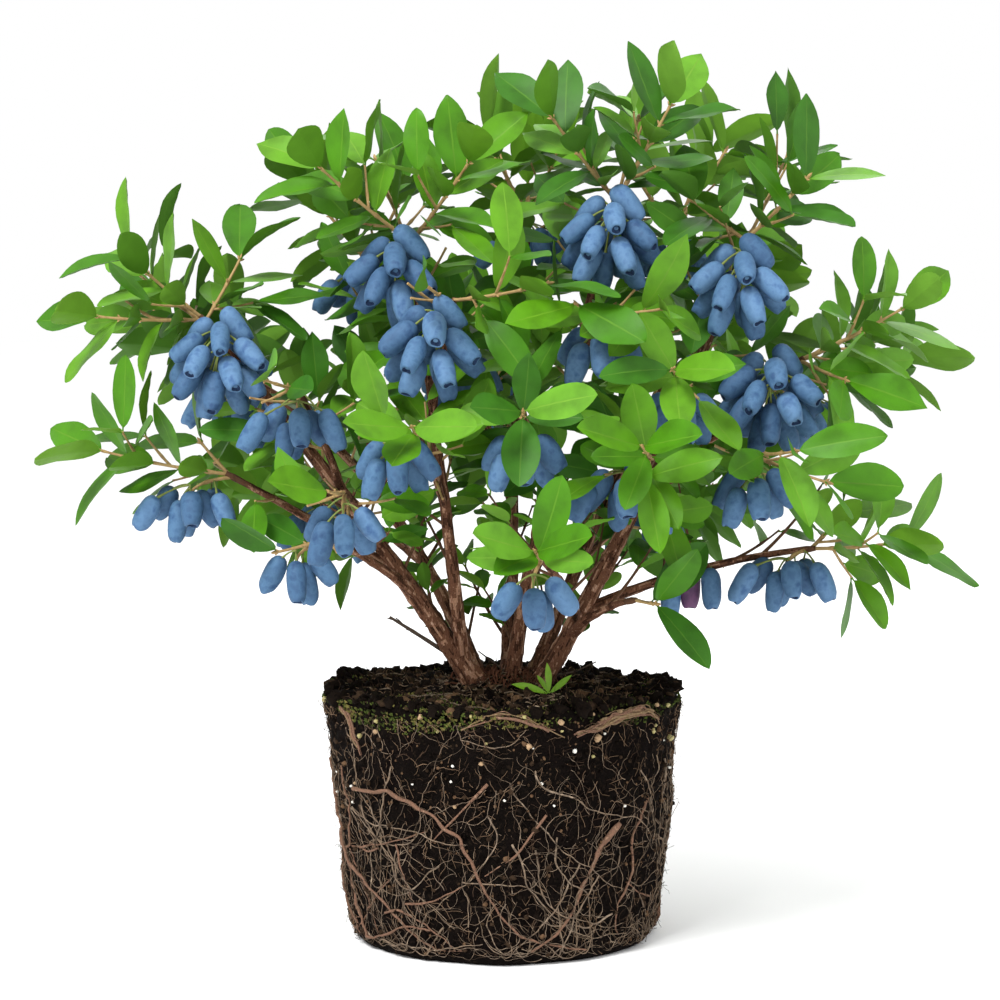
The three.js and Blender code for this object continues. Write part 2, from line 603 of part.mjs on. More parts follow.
// One solid of a spray: its short stem, spur, fruit, shoots and leaves
function spraySolid(spray, sprays) {
  const stem = new THREE.LineCurve3(spray.base, spray.fork);
  const spur = new THREE.LineCurve3(spray.spurFoot, spray.spur);
  const parts = [twigSolid(stem, FORK_RADIUS, FORK_RADIUS, 1)];
  const taken = [];
  const count = Math.round(spray.fruit * FRUIT_SHARE);
  if (count > 0) {
    parts.push(twigSolid(spur, TWIG_BASE_RADIUS, TWIG_TIP_RADIUS, 1));
  }
  for (const fruit of packFruit(count, spray, sprays)) {
    const spots = fruitSpots(fruit, spray);
    if (spots.every((spot) => isFree(spot, spray, sprays))) {
      parts.push(solidOf(fruitGeometry(fruit)));
      parts.push(twigSolid(stalkCurve(fruit, spray), STALK_RADIUS, STALK_RADIUS, 1));
      taken.push(...spots);
    }
  }
  spray.shoots.forEach((curve, shootIndex) => {
    if (!curve.getPoints(TWIG_CHECKS).slice(1).every((spot) => isFree(spot, spray, sprays))) {
      return;
    }
    parts.push(twigSolid(curve, TWIG_BASE_RADIUS, TWIG_TIP_RADIUS, TWIG_STEPS));
    PAIR_SHARES.forEach((share, pair) => {
      for (const side of [0, 1]) {
        const leaf = growLeaf(spray, sprays, shootIndex, share, pair, side, taken);
        if (leaf) {
          parts.push(solidOf(leafGeometry(leaf)));
        }
      }
    });
  });
  return wholePiece(wasm.Manifold.union(parts));
}

// Assembly

const bush = new THREE.Group();

function addMesh(name, solid, look) {
  const mesh = new THREE.Mesh(geometryOf(solid), new THREE.MeshStandardMaterial(look));
  mesh.name = name;
  bush.add(mesh);
}

STEMS.forEach(addStem);
BOUGHS.forEach(addBough);
const sprays = SPRAYS.map(addFrame);

addMesh('root_ball', rootBall(), SOIL);
limbs.forEach((limb) => addMesh(limb.name, limb.solid, limb.look));
sprays.forEach((spray) => addMesh(spray.name, spraySolid(spray, sprays), FOLIAGE));

export default bush;
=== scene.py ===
"""A fruiting haskap bush on its bare root ball, with a camera, a pale floor and studio light.

Sizes are in millimetres, in the solid model's frame: the origin is the middle of the flat
underside of the root ball, +Z is up and -Y is the front. Meshes are made in metres.
"""

import math
from functools import lru_cache

import bpy
import numpy as np
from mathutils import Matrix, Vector


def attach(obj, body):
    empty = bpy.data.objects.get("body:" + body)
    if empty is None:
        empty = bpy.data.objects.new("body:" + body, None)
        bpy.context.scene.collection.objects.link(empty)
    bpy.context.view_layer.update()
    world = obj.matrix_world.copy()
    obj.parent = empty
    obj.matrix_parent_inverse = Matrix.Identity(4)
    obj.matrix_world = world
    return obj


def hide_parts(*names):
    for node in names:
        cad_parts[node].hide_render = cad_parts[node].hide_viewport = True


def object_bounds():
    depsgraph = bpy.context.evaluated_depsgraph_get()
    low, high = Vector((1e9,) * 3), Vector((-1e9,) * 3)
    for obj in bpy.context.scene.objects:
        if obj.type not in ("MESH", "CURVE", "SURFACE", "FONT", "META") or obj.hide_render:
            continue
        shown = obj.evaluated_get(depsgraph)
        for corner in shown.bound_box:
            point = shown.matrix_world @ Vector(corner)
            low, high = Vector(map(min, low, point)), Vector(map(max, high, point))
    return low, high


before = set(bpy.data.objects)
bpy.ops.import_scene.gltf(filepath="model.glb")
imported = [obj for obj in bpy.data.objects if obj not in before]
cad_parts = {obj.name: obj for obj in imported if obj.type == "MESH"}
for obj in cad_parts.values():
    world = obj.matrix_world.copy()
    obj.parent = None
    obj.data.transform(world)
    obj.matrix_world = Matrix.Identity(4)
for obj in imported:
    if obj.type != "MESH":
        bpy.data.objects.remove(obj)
cad_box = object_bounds()

MM = 0.001
UP = np.array([0.0, 0.0, 1.0])
ROUND = 2 * math.pi
GOLDEN_ANGLE = math.radians(137.5)

# Each stem: foot on the soil, the point that its curve leans towards, tip, radii
STEMS = [
    ("stem_left", (-9, -6), (-74, -16, 247), (-172, -30, 367), 6.4, 2.1),
    ("stem_right", (15, -8), (85, -10, 257), (139, -50, 412), 5.8, 2.1),
    ("stem_centre", (3, 4), (22, 10, 272), (64, -50, 435), 4.5, 2.1),
    ("stem_right_rear", (14, 12), (50, 50, 242), (113, 122, 349), 5, 2.1),
    ("stem_back_left", (-9, 13), (-60, 40, 277), (-158, 78, 333), 4.7, 2.1),
    ("stem_back", (3, 23), (5, 50, 267), (15, 73, 427), 4.7, 2.1),
]

# Each bough: the limb that it leaves, how far along, how much it arches, tip, own radii
BOUGHS = [
    ("stem_centre_left", "stem_left", 0.1, 14, (-53, -58, 410), 4.4),
    ("bough_centre_left", "stem_centre_left", 0.62, 4, (-29, -98, 379)),
    ("bough_front_left", "stem_centre_left", 0.4, 4, (-46, -118, 306)),
    ("bough_centre", "stem_centre", 0.65, 5, (56, -97, 374)),
    ("bough_front_centre", "stem_centre", 0.42, 8, (12, -116, 317)),
    ("bough_left_inner", "stem_left", 0.55, 3, (-115, -68, 327)),
    ("bough_far_left_lower", "stem_left", 0.34, 3, (-155, -30, 277)),
    ("bough_left_lower", "stem_left", 0.28, 8, (-98, -58, 243)),
    ("bough_front_left_low", "stem_left", 0.42, 6, (-88, -108, 275)),
    ("bough_right", "stem_right", 0.55, 3, (168, -40, 345)),
    ("bough_front_low", "stem_right", 0.2, 8, (23, -128, 239)),
    ("bough_front_right", "stem_right", 0.42, 6, (83, -113, 294)),
    ("bough_front_right_upper", "stem_right", 0.62, 4, (100, -98, 339)),
    ("bough_right_low", "stem_right", 0.48, 5, (137, -88, 296)),
    ("bough_far_right_lower", "stem_right", 0.22, 11, (175, -30, 236)),
    ("bough_low_right", "stem_right", 0.16, 8, (72, -68, 210)),
    ("bough_right_back", "stem_right_rear", 0.5, 8, (182, 60, 325)),
    ("bough_back_low_right", "stem_right_rear", 0.35, 6, (93, 133, 250)),
    ("bough_back_upper_right", "stem_right_rear", 0.6, 6, (104, 55, 419)),
    ("bough_back_upper_left", "stem_back_left", 0.6, 4, (-84, 60, 399)),
    ("bough_back_low_left", "stem_back_left", 0.35, 6, (-108, 118, 255)),
    ("bough_inner", "stem_back", 0.4, 4, (-22, 8, 345)),
    ("bough_back_centre", "stem_back", 0.5, 8, (-15, 148, 339)),
    ("twig_dead", "stem_left", 0.12, 0, (-68, -12, 194), 1.6, 0.8),
]

# Each spray: fruit, where they hang from the fork, shoots as azimuth, elevation, length, and the
# stem that it is on where that isn't the bough of its own name
SPRAYS = [
    ("upper_left", 9, (-8, -24, -22), [(201, 37, 68), (-30, 47, 60), (113, 41, 72)], "stem_centre_left"),
    ("centre_left", 10, (-12, -20, -28), [(-21, 9, 57), (-110, 10, 40)]),
    ("upper_centre", 11, (-5, -24, -26), [(-18, 59, 62), (207, 46, 63), (70, 50, 60)], "stem_centre"),
    ("centre", 4, (-4, -8, -22), [(-30, 5, 35), (-120, 10, 35)]),
    ("upper_right", 10, (-7, -26, -30), [(-17, 44, 48), (200, 30, 40), (64, 38, 84)], "stem_right"),
    ("right", 13, (-22, -27, -24), [(-10, 27, 64), (-50, -20, 35), (30, 20, 50)]),
    ("far_left_upper", 13, (14, -26, -28),
     [(194, 40, 54), (199, 0, 62), (23, 53, 42), (140, 25, 60)], "stem_left"),
    ("left_inner", 6, (0, -8, -24), [(-120, 10, 35)]),
    ("far_left_lower", 6, (-21, -5, -22), [(188, 11, 75), (150, 45, 25)]),
    ("left_lower", 3, (-15, -5, -22), [(211, -12, 30), (-60, -15, 18)]),
    ("front_low", 3, (-5, -25, -22), [(-95, 12, 42)]),
    ("front_left", 4, (-12, -8, -17), [(-93, 10, 46)]),
    ("front_centre", 4, (0, -8, -24), [(-90, 8, 42)]),
    ("front_right", 5, (-17, -8, -22), [(-100, 12, 46)]),
    ("front_right_upper", 4, (0, -8, -24), [(-100, 8, 40)]),
    ("right_low", 4, (0, -8, -24), [(-60, 5, 40), (-20, -20, 45)]),
    ("far_right_lower", 6, (-18, -5, -19), [(-6, 5, 54), (40, 40, 30)]),
    ("low_right", 0, (0, 0, 0), [(-40, -5, 14)]),
    ("front_left_low", 4, (0, -8, -22), [(-100, 5, 36)]),
    ("back_upper_left", 6, (0, 8, -24), [(130, 45, 70), (175, 50, 60), (-35, 55, 55)]),
    ("back_left", 7, (0, 8, -24), [(150, 20, 75), (175, 35, 65), (110, 25, 60)], "stem_back_left"),
    ("back_upper", 6, (0, 8, -24), [(90, 45, 65), (205, 58, 55), (-55, 50, 50)], "stem_back"),
    ("inner", 4, (0, -14, -20), [(-95, 30, 45), (165, 35, 50), (15, 40, 50)]),
    ("back_centre", 7, (0, 8, -24), [(95, 15, 75), (60, 35, 60), (130, 30, 60)]),
    ("back_right", 7, (0, 8, -24), [(45, 25, 80), (75, 30, 65), (15, 40, 60)], "stem_right_rear"),
    ("right_back", 6, (0, 8, -24), [(10, 15, 62), (40, 25, 60)]),
    ("back_low_left", 5, (0, 8, -24), [(135, 5, 80), (160, 15, 60), (100, 10, 60)]),
    ("back_low_right", 5, (0, 8, -24), [(50, 5, 80), (80, 10, 60), (20, 5, 50)]),
    ("back_upper_right", 5, (0, 8, -24), [(60, 45, 65), (15, 55, 55), (215, 45, 55)]),
]

# Each low twig: the stem that it leaves, how far along, azimuth, elevation, length
LOW_TWIGS = (
    ("stem_right", 0.07, -4, 16, 31),
    ("stem_centre", 0.06, 196, 34, 26),
    ("stem_left", 0.09, 200, 52, 24),
    ("stem_centre", 0.1, 150, 60, 44),
    ("stem_back", 0.12, 160, 58, 55),
    ("stem_back", 0.16, 25, 62, 60),
    ("stem_back", 0.2, 95, 40, 62),
    ("stem_right_rear", 0.14, 100, 60, 62),
    ("stem_back_left", 0.14, 60, 66, 70),
    ("stem_back_left", 0.1, 150, 50, 60),
    ("stem_centre_left", 0.24, 140, 55, 48),
    ("stem_left", 0.2, 120, 62, 52),
    ("stem_right", 0.24, 60, 66, 56),
    ("stem_right_rear", 0.1, 20, 48, 58),
)
BARE_BELOW = 40

# Root ball
RIM_RADIUS, FOOT_RADIUS, FLAT_RADIUS = 106, 93, 86
RIM_HEIGHT, FOOT_HEIGHT, SOIL_HEIGHT = 147, 9, 149
SOIL_FLAT_RADIUS = 48
RIM_ROUND = 5
INNER_RADIUS, SIDE_TOP = RIM_RADIUS - RIM_ROUND, RIM_HEIGHT - RIM_ROUND
BALL_LUMP = 1.6
LUMP_WAVES = ((3, 40), (7, -17), (11, 9))
RIM_WAVES = 5
SOIL_COLUMNS = 350
LOWEST_ROOT, HIGHEST_ROOT = 2.5, RIM_HEIGHT - 4

# What the root ball shows: stream of random numbers, how many, and whether they share one stream
LITTER = {
    "thick roots": (901, 20, False),
    "thin roots": (902, 84, False),
    "fine roots": (903, 860, False),
    "fibres": (904, 3000, False),
    "soil strands": (905, 110, False),
    "loose fibres": (906, 330, False),
    "soil chips": (907, 1700, False),
    "collar strands": (908, 150, False),
    "rim crumbs": (909, 230, False),
    "soil crumbs": (910, 1150, False),
    "side crumbs": (911, 520, False),
    "grit": (912, 30, True),
    "feed grains": (913, 30, True),
    "moss": (914, 11000, True),
    "tiny crumbs": (915, 1800, True),
}
FRONT_ROOT, BUNDLE = 900, 920
# Streams of random numbers for what grows on the limbs
DEAD_END, LOW_TWIG, FRUIT, LONE, TONE = 30, 31, 41, 42, 50
SIDE_TWIG, DARK_TWIG, BUD, LIMB_TWIG = 60, 65, 70, 80

# Wood
BURIED = 10
FLARE, FLARE_HEIGHT = 0.35, 12
BOUGH_SHARE, BOUGH_TIP_RADIUS = 0.66, 1.8
FORK_LENGTH, FORK_INSET, FORK_STEP = 10, 1, 1.9
SHOOT_SAG = 0.04
CLEARANCE = 0.3
BARK_STEP = 1.5

# Leaves
LEAF_LENGTH = 48
LEAF_WIDTH = 0.43
PAIR_STEP = 14
LEAF_SHORT_FOOT = 0.35
LEAN_FOOT, LEAN_TIP, LEAN_JITTER = 68, 40, 16
ROLL_JITTER = 24
LENGTH_JITTER = 0.22
LEAF_TRIES, TRY_SPREAD = 7, 1.0
FACE_SHOOT, FACE_UP, FACE_OUT = 0.65, 0.65, 0.7
FACE_SIDE, FACE_MIDDLE = 0.3, 30
POINTED_HEIGHTS, BLUNT_SHARES = (300, 430), (0.85, 0.2)
GREENS = ("41760c", "4b7e0e", "548618", "396c0c", "316212", "588b22")

# Side twigs: how far apart, and where on a limb they start and turn from sparse and dark to leafy
SHOOT_TWIG_STEP, LIMB_TWIG_STEP = 25, 20
LOWEST_TWIG, LEAFY_FRONT, LEAFY_BACK, BACK_FROM = 172, 265, 230, 20

# Fruit
FRUIT_LENGTH, FRUIT_RADIUS = 24, 6.8
FRUIT_MORE = 1.35
FRUIT_CROWD, FRUIT_SPLAY = 1.2, 0.85
FEW_FRUIT, ROW_STRETCH, ROW_SPLAY = 8, (1.5, 0.8, 0.4), 0.35
SPUR_FALL = 0.3
PACK_ROUNDS = 40
CROWD_PUSH, CROWD_REACH = 0.4, 160
LIMB_GAP, LIMB_REACH = 2, 45

# The tones of ripe fruit, and last of an unripe one
BLOOMS = (
    ("bloom light", "375780 547699 466689"),
    ("bloom mid", "2f4e73 496b8c 3d5c7f"),
    ("bloom deep", "284467 3e5e7f 345172"),
    ("unripe", "4d3450 634060 553a5c"),
)

# Single fruit under a bough: its share of the bough, how far aside, ahead and down, and its bloom
LONE_BOUGH = "bough_far_right_lower"
LONE_FRUIT = ((0.44, -2, -7, 13, 0), (0.52, -1, -1, 9, 3), (0.59, 2, -7, 12, 1))

# Where leaves leave a limb in view from the front: limb, from share, to share
SHOWN_LIMBS = (
    ("stem_left", 0.2, 0.74),
    ("stem_centre_left", 0.06, 0.5),
    ("stem_right", 0.12, 0.4),
    ("bough_far_left_lower", 0.1, 0.9),
)
SHOWN_HALF, SHOWN_AHEAD = 5, 150
FRONT_VIEW = np.array([0, -1800, 414])


# Numbers and curves

RANDOM_FACTOR, RANDOM_PRIME = 16807, 2147483647
HASH, HASH_FACTOR = np.array([73856093, 19349663, 83492791]), 1274126177


def stream(*keys):
    """Repeatable random numbers between two limits, for one leaf, fruit, twig or root."""
    state = [1]

    def draw(low=0.0, high=1.0):
        state[0] = state[0] * RANDOM_FACTOR % RANDOM_PRIME
        return low + (high - low) * state[0] / RANDOM_PRIME

    for key in keys:
        state[0] = (state[0] + key + 1) % RANDOM_PRIME
        draw()
        draw()
    return draw


def streams(kind):
    """Random numbers for each thing of a kind on the root ball."""
    key, count, shared = LITTER[kind]
    first = stream(key, 0)
    return (first if shared else stream(key, number) for number in range(count))


def noise(spots, size, seed=0):
    """Smooth random values from -1 to 1 at points, in bumps of about a size."""
    place = np.asarray(spots, float) / size + 31.7 * (seed + 1)
    cell = np.floor(place).astype(np.int64)
    part = place - cell
    part = part * part * (3 - 2 * part)
    total = np.zeros(place.shape[:-1])
    for corner in np.ndindex(2, 2, 2):
        mixed = ((cell + corner) * HASH).sum(-1)
        mixed = (mixed ^ (mixed >> 13)) * HASH_FACTOR
        value = ((mixed ^ (mixed >> 16)) & 0xFFFF) / 0x7FFF - 1
        total += value * np.where(corner, part, 1 - part).prod(-1)
    return total


def unit(vectors):
    return vectors / np.linalg.norm(vectors, axis=-1, keepdims=True)


def heading(azimuth, elevation):
    turn, rise = math.radians(azimuth), math.radians(elevation)
    level = math.cos(rise)
    return np.array([math.cos(turn) * level, math.sin(turn) * level, math.sin(rise)])


class Curve:
    """A quadratic curve, followed by its length as the solid model follows it."""

    def __init__(self, start, control, end):
        self.ends = [np.asarray(p, float) for p in (start, control, end)]
        self.steps = np.linspace(0, 1, 201)
        spans = np.linalg.norm(np.diff(self.at(self.steps), axis=0), axis=1)
        self.lengths = np.concatenate([[0], np.cumsum(spans)])
        self.length = self.lengths[-1]

    def at(self, step):
        step = np.asarray(step)[..., None]
        start, control, end = self.ends
        return (1 - step) ** 2 * start + 2 * step * (1 - step) * control + step**2 * end

    def step_of(self, share):
        return np.interp(np.asarray(share) * self.length, self.lengths, self.steps)

    def spot(self, share):
        return self.at(self.step_of(share))

    def way(self, share):
        step = np.asarray(self.step_of(share))[..., None]
        start, control, end = self.ends
        return unit((1 - step) * (control - start) + step * (end - control))

    def points(self, low, high, count):
        return self.spot(np.linspace(low, high, count))


# Meshes


class Shape:
    """A mesh in the making, to which closed forms are added one by one."""

    def __init__(self):
        self.spots, self.faces, self.marks, self.count = [], [], [], 0

    def add(self, spots, faces, marks=0):
        spots = np.reshape(spots, (-1, 3))
        self.spots.append(spots)
        self.faces.append(faces + self.count)
        self.marks.append(np.broadcast_to(marks, len(faces)))
        self.count += len(spots)

    def add_tube(self, line, radii, sides, marks=0, relief=0.0):
        self.add(*tube(line, radii, sides, relief), marks)


@lru_cache(maxsize=None)
def grid_faces(rows, columns, closed):
    """Triangles of a grid of points, joined round its columns if it is closed."""
    steps = np.arange(columns if closed else columns - 1)
    row, column = np.meshgrid(np.arange(rows - 1), steps, indexing="ij")
    near = row * columns + column
    right = row * columns + (column + 1) % columns
    far = right + columns
    faces = np.stack([near, right, far, near, far, near + columns], -1)
    return faces.reshape(-1, 3)


@lru_cache(maxsize=None)
def tube_faces(rows, sides):
    """Triangles of a tube with a fan on each end."""
    turn = np.arange(sides)
    after = (turn + 1) % sides
    last = (rows - 1) * sides
    foot = np.stack([after, turn, np.full(sides, rows * sides)], -1)
    tip = np.stack([last + turn, last + after, np.full(sides, rows * sides + 1)], -1)
    return np.concatenate([grid_faces(rows, sides, True), foot, tip])


def tube(line, radii, sides, relief=0.0):
    """A closed round form along a line of points."""
    line = np.asarray(line, float)
    rows = len(line)
    ways = unit(np.gradient(line, axis=0))
    side = np.cross(ways[0], UP if abs(ways[0][2]) < 0.9 else np.array([1.0, 0.0, 0.0]))
    frames = np.empty((rows, 2, 3))
    for row, way in enumerate(ways):
        side = unit(side - way * (side @ way))
        frames[row] = side, np.cross(way, side)
    turns = np.arange(sides) * 2 * math.pi / sides
    rounds = np.cos(turns)[:, None] * frames[:, None, 0] + np.sin(turns)[:, None] * frames[:, None, 1]
    reach = np.broadcast_to(radii, rows)[:, None] + relief
    rings = line[:, None] + rounds * np.broadcast_to(reach, (rows, sides))[..., None]
    return np.concatenate([rings.reshape(-1, 3), line[:1], line[-1:]]), tube_faces(rows, sides)


def piece(name, shape, materials, nodes=()):
    """One mesh of the bush, which stands for some nodes of the solid model."""
    faces = np.concatenate(shape.faces).astype(np.int32)
    spots = (np.concatenate(shape.spots) * MM).astype(np.float32)
    mesh = bpy.data.meshes.new(name)
    mesh.vertices.add(len(spots))
    mesh.vertices.foreach_set("co", spots.ravel())
    mesh.loops.add(faces.size)
    mesh.loops.foreach_set("vertex_index", faces.ravel())
    mesh.polygons.add(len(faces))
    mesh.polygons.foreach_set("loop_start", np.arange(0, faces.size, 3, dtype=np.int32))
    mesh.polygons.foreach_set("material_index", np.concatenate(shape.marks).astype(np.int32))
    mesh.update(calc_edges=True)
    mesh.shade_smooth()
    mesh.set_sharp_from_angle(angle=math.radians(75))
    for material in materials:
        mesh.materials.append(material)
    made = bpy.data.objects.new(name, mesh)
    bpy.context.scene.collection.objects.link(made)
    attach(made, "root")
    if nodes:
        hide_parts(*nodes)


# Root ball


def ball_profile():
    """Radius and height all the way from the middle of the underside to the middle of the soil."""
    foot, rim = np.linspace(0, math.pi / 2, 10)[1:], np.linspace(0, math.pi / 2, 7)[1:]
    side, soil = np.linspace(FOOT_HEIGHT, SIDE_TOP, 80)[1:], np.linspace(INNER_RADIUS, 0.5, 50)[1:]
    parts = (
        (np.linspace(0, FLAT_RADIUS, 12), np.zeros(12)),
        (FLAT_RADIUS + (FOOT_RADIUS - FLAT_RADIUS) * np.sin(foot), FOOT_HEIGHT * (1 - np.cos(foot))),
        (np.interp(side, (FOOT_HEIGHT, SIDE_TOP), (FOOT_RADIUS, RIM_RADIUS)), side),
        (RIM_RADIUS - RIM_ROUND * (1 - np.cos(rim)), RIM_HEIGHT - RIM_ROUND * (1 - np.sin(rim))),
        (soil, np.interp(soil, (SOIL_FLAT_RADIUS, INNER_RADIUS), (SOIL_HEIGHT, RIM_HEIGHT))),
    )
    return np.concatenate([np.stack(part, -1) for part in parts])


def swell(turn, height):
    """How much the ball's radius grows at a place on its side."""
    waves = sum(np.sin(count * turn + height / drift) for count, drift in LUMP_WAVES)
    return 1 + BALL_LUMP * waves / (2 * RIM_RADIUS)


def side_radius(height):
    bow = np.sqrt(np.clip(1 - (1 - np.clip(height / FOOT_HEIGHT, 0, 1)) ** 2, 0, 1))
    side = np.interp(height, (FOOT_HEIGHT, SIDE_TOP), (FOOT_RADIUS, RIM_RADIUS))
    return np.where(height < FOOT_HEIGHT, FLAT_RADIUS + (FOOT_RADIUS - FLAT_RADIUS) * bow, side)


def crumble(spots):
    """Height of the clods and crumbs of the compost at points."""
    clods = noise(spots, 19, 1) * 1.2 + noise(spots, 8, 2) * 1.2
    crumbs = noise(spots, 3.8, 3) * 1.0 + noise(spots, 2.0, 4) * 0.65
    pits = np.minimum(noise(spots, 5.5, 5) + 0.3, 0) * 3.4
    return clods + crumbs + pits


def soil_height(x, y):
    """Height of the soil's surface inside the rim."""
    radius = np.hypot(x, y)
    turn = np.arctan2(y, x)
    level = np.interp(radius, (SOIL_FLAT_RADIUS, INNER_RADIUS), (SOIL_HEIGHT, RIM_HEIGHT))
    wild = BALL_LUMP * np.sin(RIM_WAVES * turn) + 1 + 3.2 * noise(np.stack([x, y, 0 * x], -1), 21, 31)
    mound = 7 * np.exp(-((radius / 26) ** 2))
    return level + np.clip((radius - SOIL_FLAT_RADIUS) / 40, 0, 1) * wild + mound


def soil_shape():
    profile = ball_profile()[1:]
    turns = np.arange(SOIL_COLUMNS) * 2 * math.pi / SOIL_COLUMNS
    radius, height = profile[:, 0][:, None], profile[:, 1][:, None] + 0 * turns
    grow = np.where(radius > SOIL_FLAT_RADIUS, swell(turns, height), 1)
    x, y = np.cos(turns) * radius * grow, np.sin(turns) * radius * grow
    on_top = (height >= SIDE_TOP) & (radius < RIM_RADIUS - 1)
    height = np.where(height >= SOIL_HEIGHT - 3, soil_height(x, y), height)
    spots = np.stack([x, y, height], -1)
    slope = np.gradient(profile, axis=0)
    outward, upward = unit(np.stack([slope[:, 1], -slope[:, 0]], -1)).T[..., None]
    amount = np.where(height < 0.01, 0, crumble(spots) * np.clip(height / 5, 0, 1))
    amount = np.where(on_top, amount * 1.5 + 1, amount)
    ways = np.stack([np.cos(turns) * outward, np.sin(turns) * outward, upward + 0 * turns], -1)
    spots += ways * amount[..., None]
    spots[..., 2] = np.maximum(spots[..., 2], 0)
    ends = np.array([[0, 0, 0], [0, 0, spots[-1, :, 2].mean()]])
    shape = Shape()
    shape.add(np.concatenate([spots.reshape(-1, 3), ends]), tube_faces(len(spots), SOIL_COLUMNS))
    return shape


def on_side(turn, height, rise=0.0):
    """Points that stand a little out of the side of the root ball."""
    radius = side_radius(height) * swell(turn, height)
    level = np.stack([np.cos(turn) * radius, np.sin(turn) * radius, height], -1)
    lift = np.asarray(rise) + 0.55 * crumble(level) * np.clip(height / 5, 0, 1)
    outward = np.stack([np.cos(turn), np.sin(turn), 0 * turn], -1)
    return level + outward * np.broadcast_to(lift, np.shape(turn))[..., None]


def direction(turn, rise=0.0):
    return np.array([math.cos(turn), math.sin(turn), rise])


def side_spot(turn, height, rise):
    return on_side(np.array([turn]), np.array([height]), rise)[0]


def soil_spot(turn, radius, rise):
    x, y = math.cos(turn) * radius, math.sin(turn) * radius
    return np.array([x, y, float(soil_height(x, y)) + rise])


# Thick roots at the front: radius, and points as turns from the front in degrees and heights
FRONT_ROOTS = (
    (1.5, ((-57, 105), (-41, 107), (-26, 97), (-14, 80), (-9, 57), (-5, 40), (2, 24), (11, 13), (31, 7))),
    (1.9, ((42, 85), (34, 68), (28, 44), (27, 33), (18, 17), (10, 9))),
    (1.0, ((-5, 118), (-17, 90), (-25, 74))),
    (0.9, ((-59, 63), (-41, 72), (-26, 82))),
    (1.0, ((14, 94), (5, 69), (-6, 55))),
    (0.8, ((-38, 71), (-34, 40), (-30, 30))),
    (0.9, ((-36, 34), (-24, 37), (-13, 49))),
    (0.9, ((-45, 26), (-40, 29), (-26, 20), (-17, 8))),
    (1.2, ((57, 100), (50, 74), (52, 48), (44, 30), (47, 12))),
    (0.8, ((-66, 118), (-63, 90), (-66, 60), (-60, 34), (-52, 12))),
)
# Bundles of strands under the rim: how many, how wide, and where they run
RIM_BUNDLES = (
    (17, 3.0, ((22, 136), (30, 140), (38, 145), (46, 147), (53, 145), (59, 138))),
    (6, 1.8, ((-13, 140), (-6, 146), (1, 149), (8, 146), (15, 139), (22, 133))),
    (6, 2.4, ((-64, 145), (-57, 138), (-55, 128), (-50, 118))),
)


def smooth_line(points, step):
    """A line through given points with a point every so many mm."""
    points = np.asarray(points, float)
    spans = np.concatenate([[0], np.cumsum(np.linalg.norm(np.diff(points, axis=0), axis=1))])
    count = max(int(spans[-1] / step), 2) + 1
    at = np.linspace(0, spans[-1], count)
    line = np.stack([np.interp(at, spans, column) for column in points.T], -1)
    for _ in range(3):
        line[1:-1] = (line[:-2] + 2 * line[1:-1] + line[2:]) / 4
    return line


def wander(draw, turn, height, course, length, step, wild):
    """Turns and heights of a root that wanders over the side of the ball."""
    path = [(turn, height)]
    for _ in range(int(length / step)):
        course += draw(-wild, wild)
        if height < 8 and math.sin(course) < 0:
            course += 0.5 if math.cos(course) > 0 else -0.5
        turn += math.cos(course) * step / RIM_RADIUS
        height += math.sin(course) * step
        if not LOWEST_ROOT < height < HIGHEST_ROOT:
            height = min(max(height, LOWEST_ROOT), HIGHEST_ROOT)
            course = -course * 0.5
        path.append((turn, height))
    return np.array(path)


def root_form(shape, path, radius, sides, draw, rise):
    """Adds one root, knotty and thinner towards its end, that dips in and out of the soil."""
    share = np.linspace(0, 1, len(path))
    knots = noise(np.stack([path[:, 0] * RIM_RADIUS, path[:, 1], 0 * share], -1), 4, 9)
    radii = radius * (1 - 0.6 * share) * (1 + 0.32 * knots)
    dip = 0.9 * radius * np.sin(share * draw(4, 14) + draw(0, 6))
    line = on_side(*path.T, rise + radii * 0.4 + dip)
    line[:, 2] = np.maximum(line[:, 2], radii + 0.1)
    shape.add_tube(line, radii, sides)


def soil_strand(shape, draw, spot, course, count, rise, bend, step, radii, mark):
    """Adds a root that wanders over the soil as far as the rim."""
    line = []
    for _ in range(count):
        line.append([*spot, float(soil_height(*spot)) + rise()])
        course += draw(-bend, bend)
        spot = spot + direction(course)[:2] * step
        if np.hypot(*spot) > INNER_RADIUS:
            break
    if len(line) > 2:
        shape.add_tube(line, draw(*radii), 4, mark)


def bundle_forms(shape):
    """Adds the strands that run together under the rim."""
    for bundle, (strands, spread, marks) in enumerate(RIM_BUNDLES):
        line = smooth_line([(a * math.pi / 180 * RIM_RADIUS, h) for a, h in marks], 2.0)
        share = np.linspace(0, 1, len(line))
        for strand in range(strands):
            draw = stream(BUNDLE, bundle, strand)
            shift, lift = draw(-1, 1) * spread, draw(0, 1) * spread * 0.8
            loose = noise(line[:, [0, 1, 1]] * [1, 1, 0] + strand * 9, 6, 4) * spread * 0.9
            start, stop = sorted((int(draw(0, 0.35) * len(line)), int(draw(0.65, 1) * len(line))))
            across = (shift * np.sin(math.pi * np.clip(share * 1.1, 0, 1)) ** 0.5 + loose)[start:stop]
            path = line[start:stop] + np.stack([0 * across, across], -1)
            turns = path[:, 0] / RIM_RADIUS - math.pi / 2
            spots = on_side(turns, np.minimum(path[:, 1], RIM_HEIGHT - 1), lift + 0.3)
            spots[:, 2] += np.maximum(path[:, 1] - RIM_HEIGHT + 1, 0)
            shape.add_tube(spots, draw(0.3, 0.85), 5, int(draw(0, 1.6)))


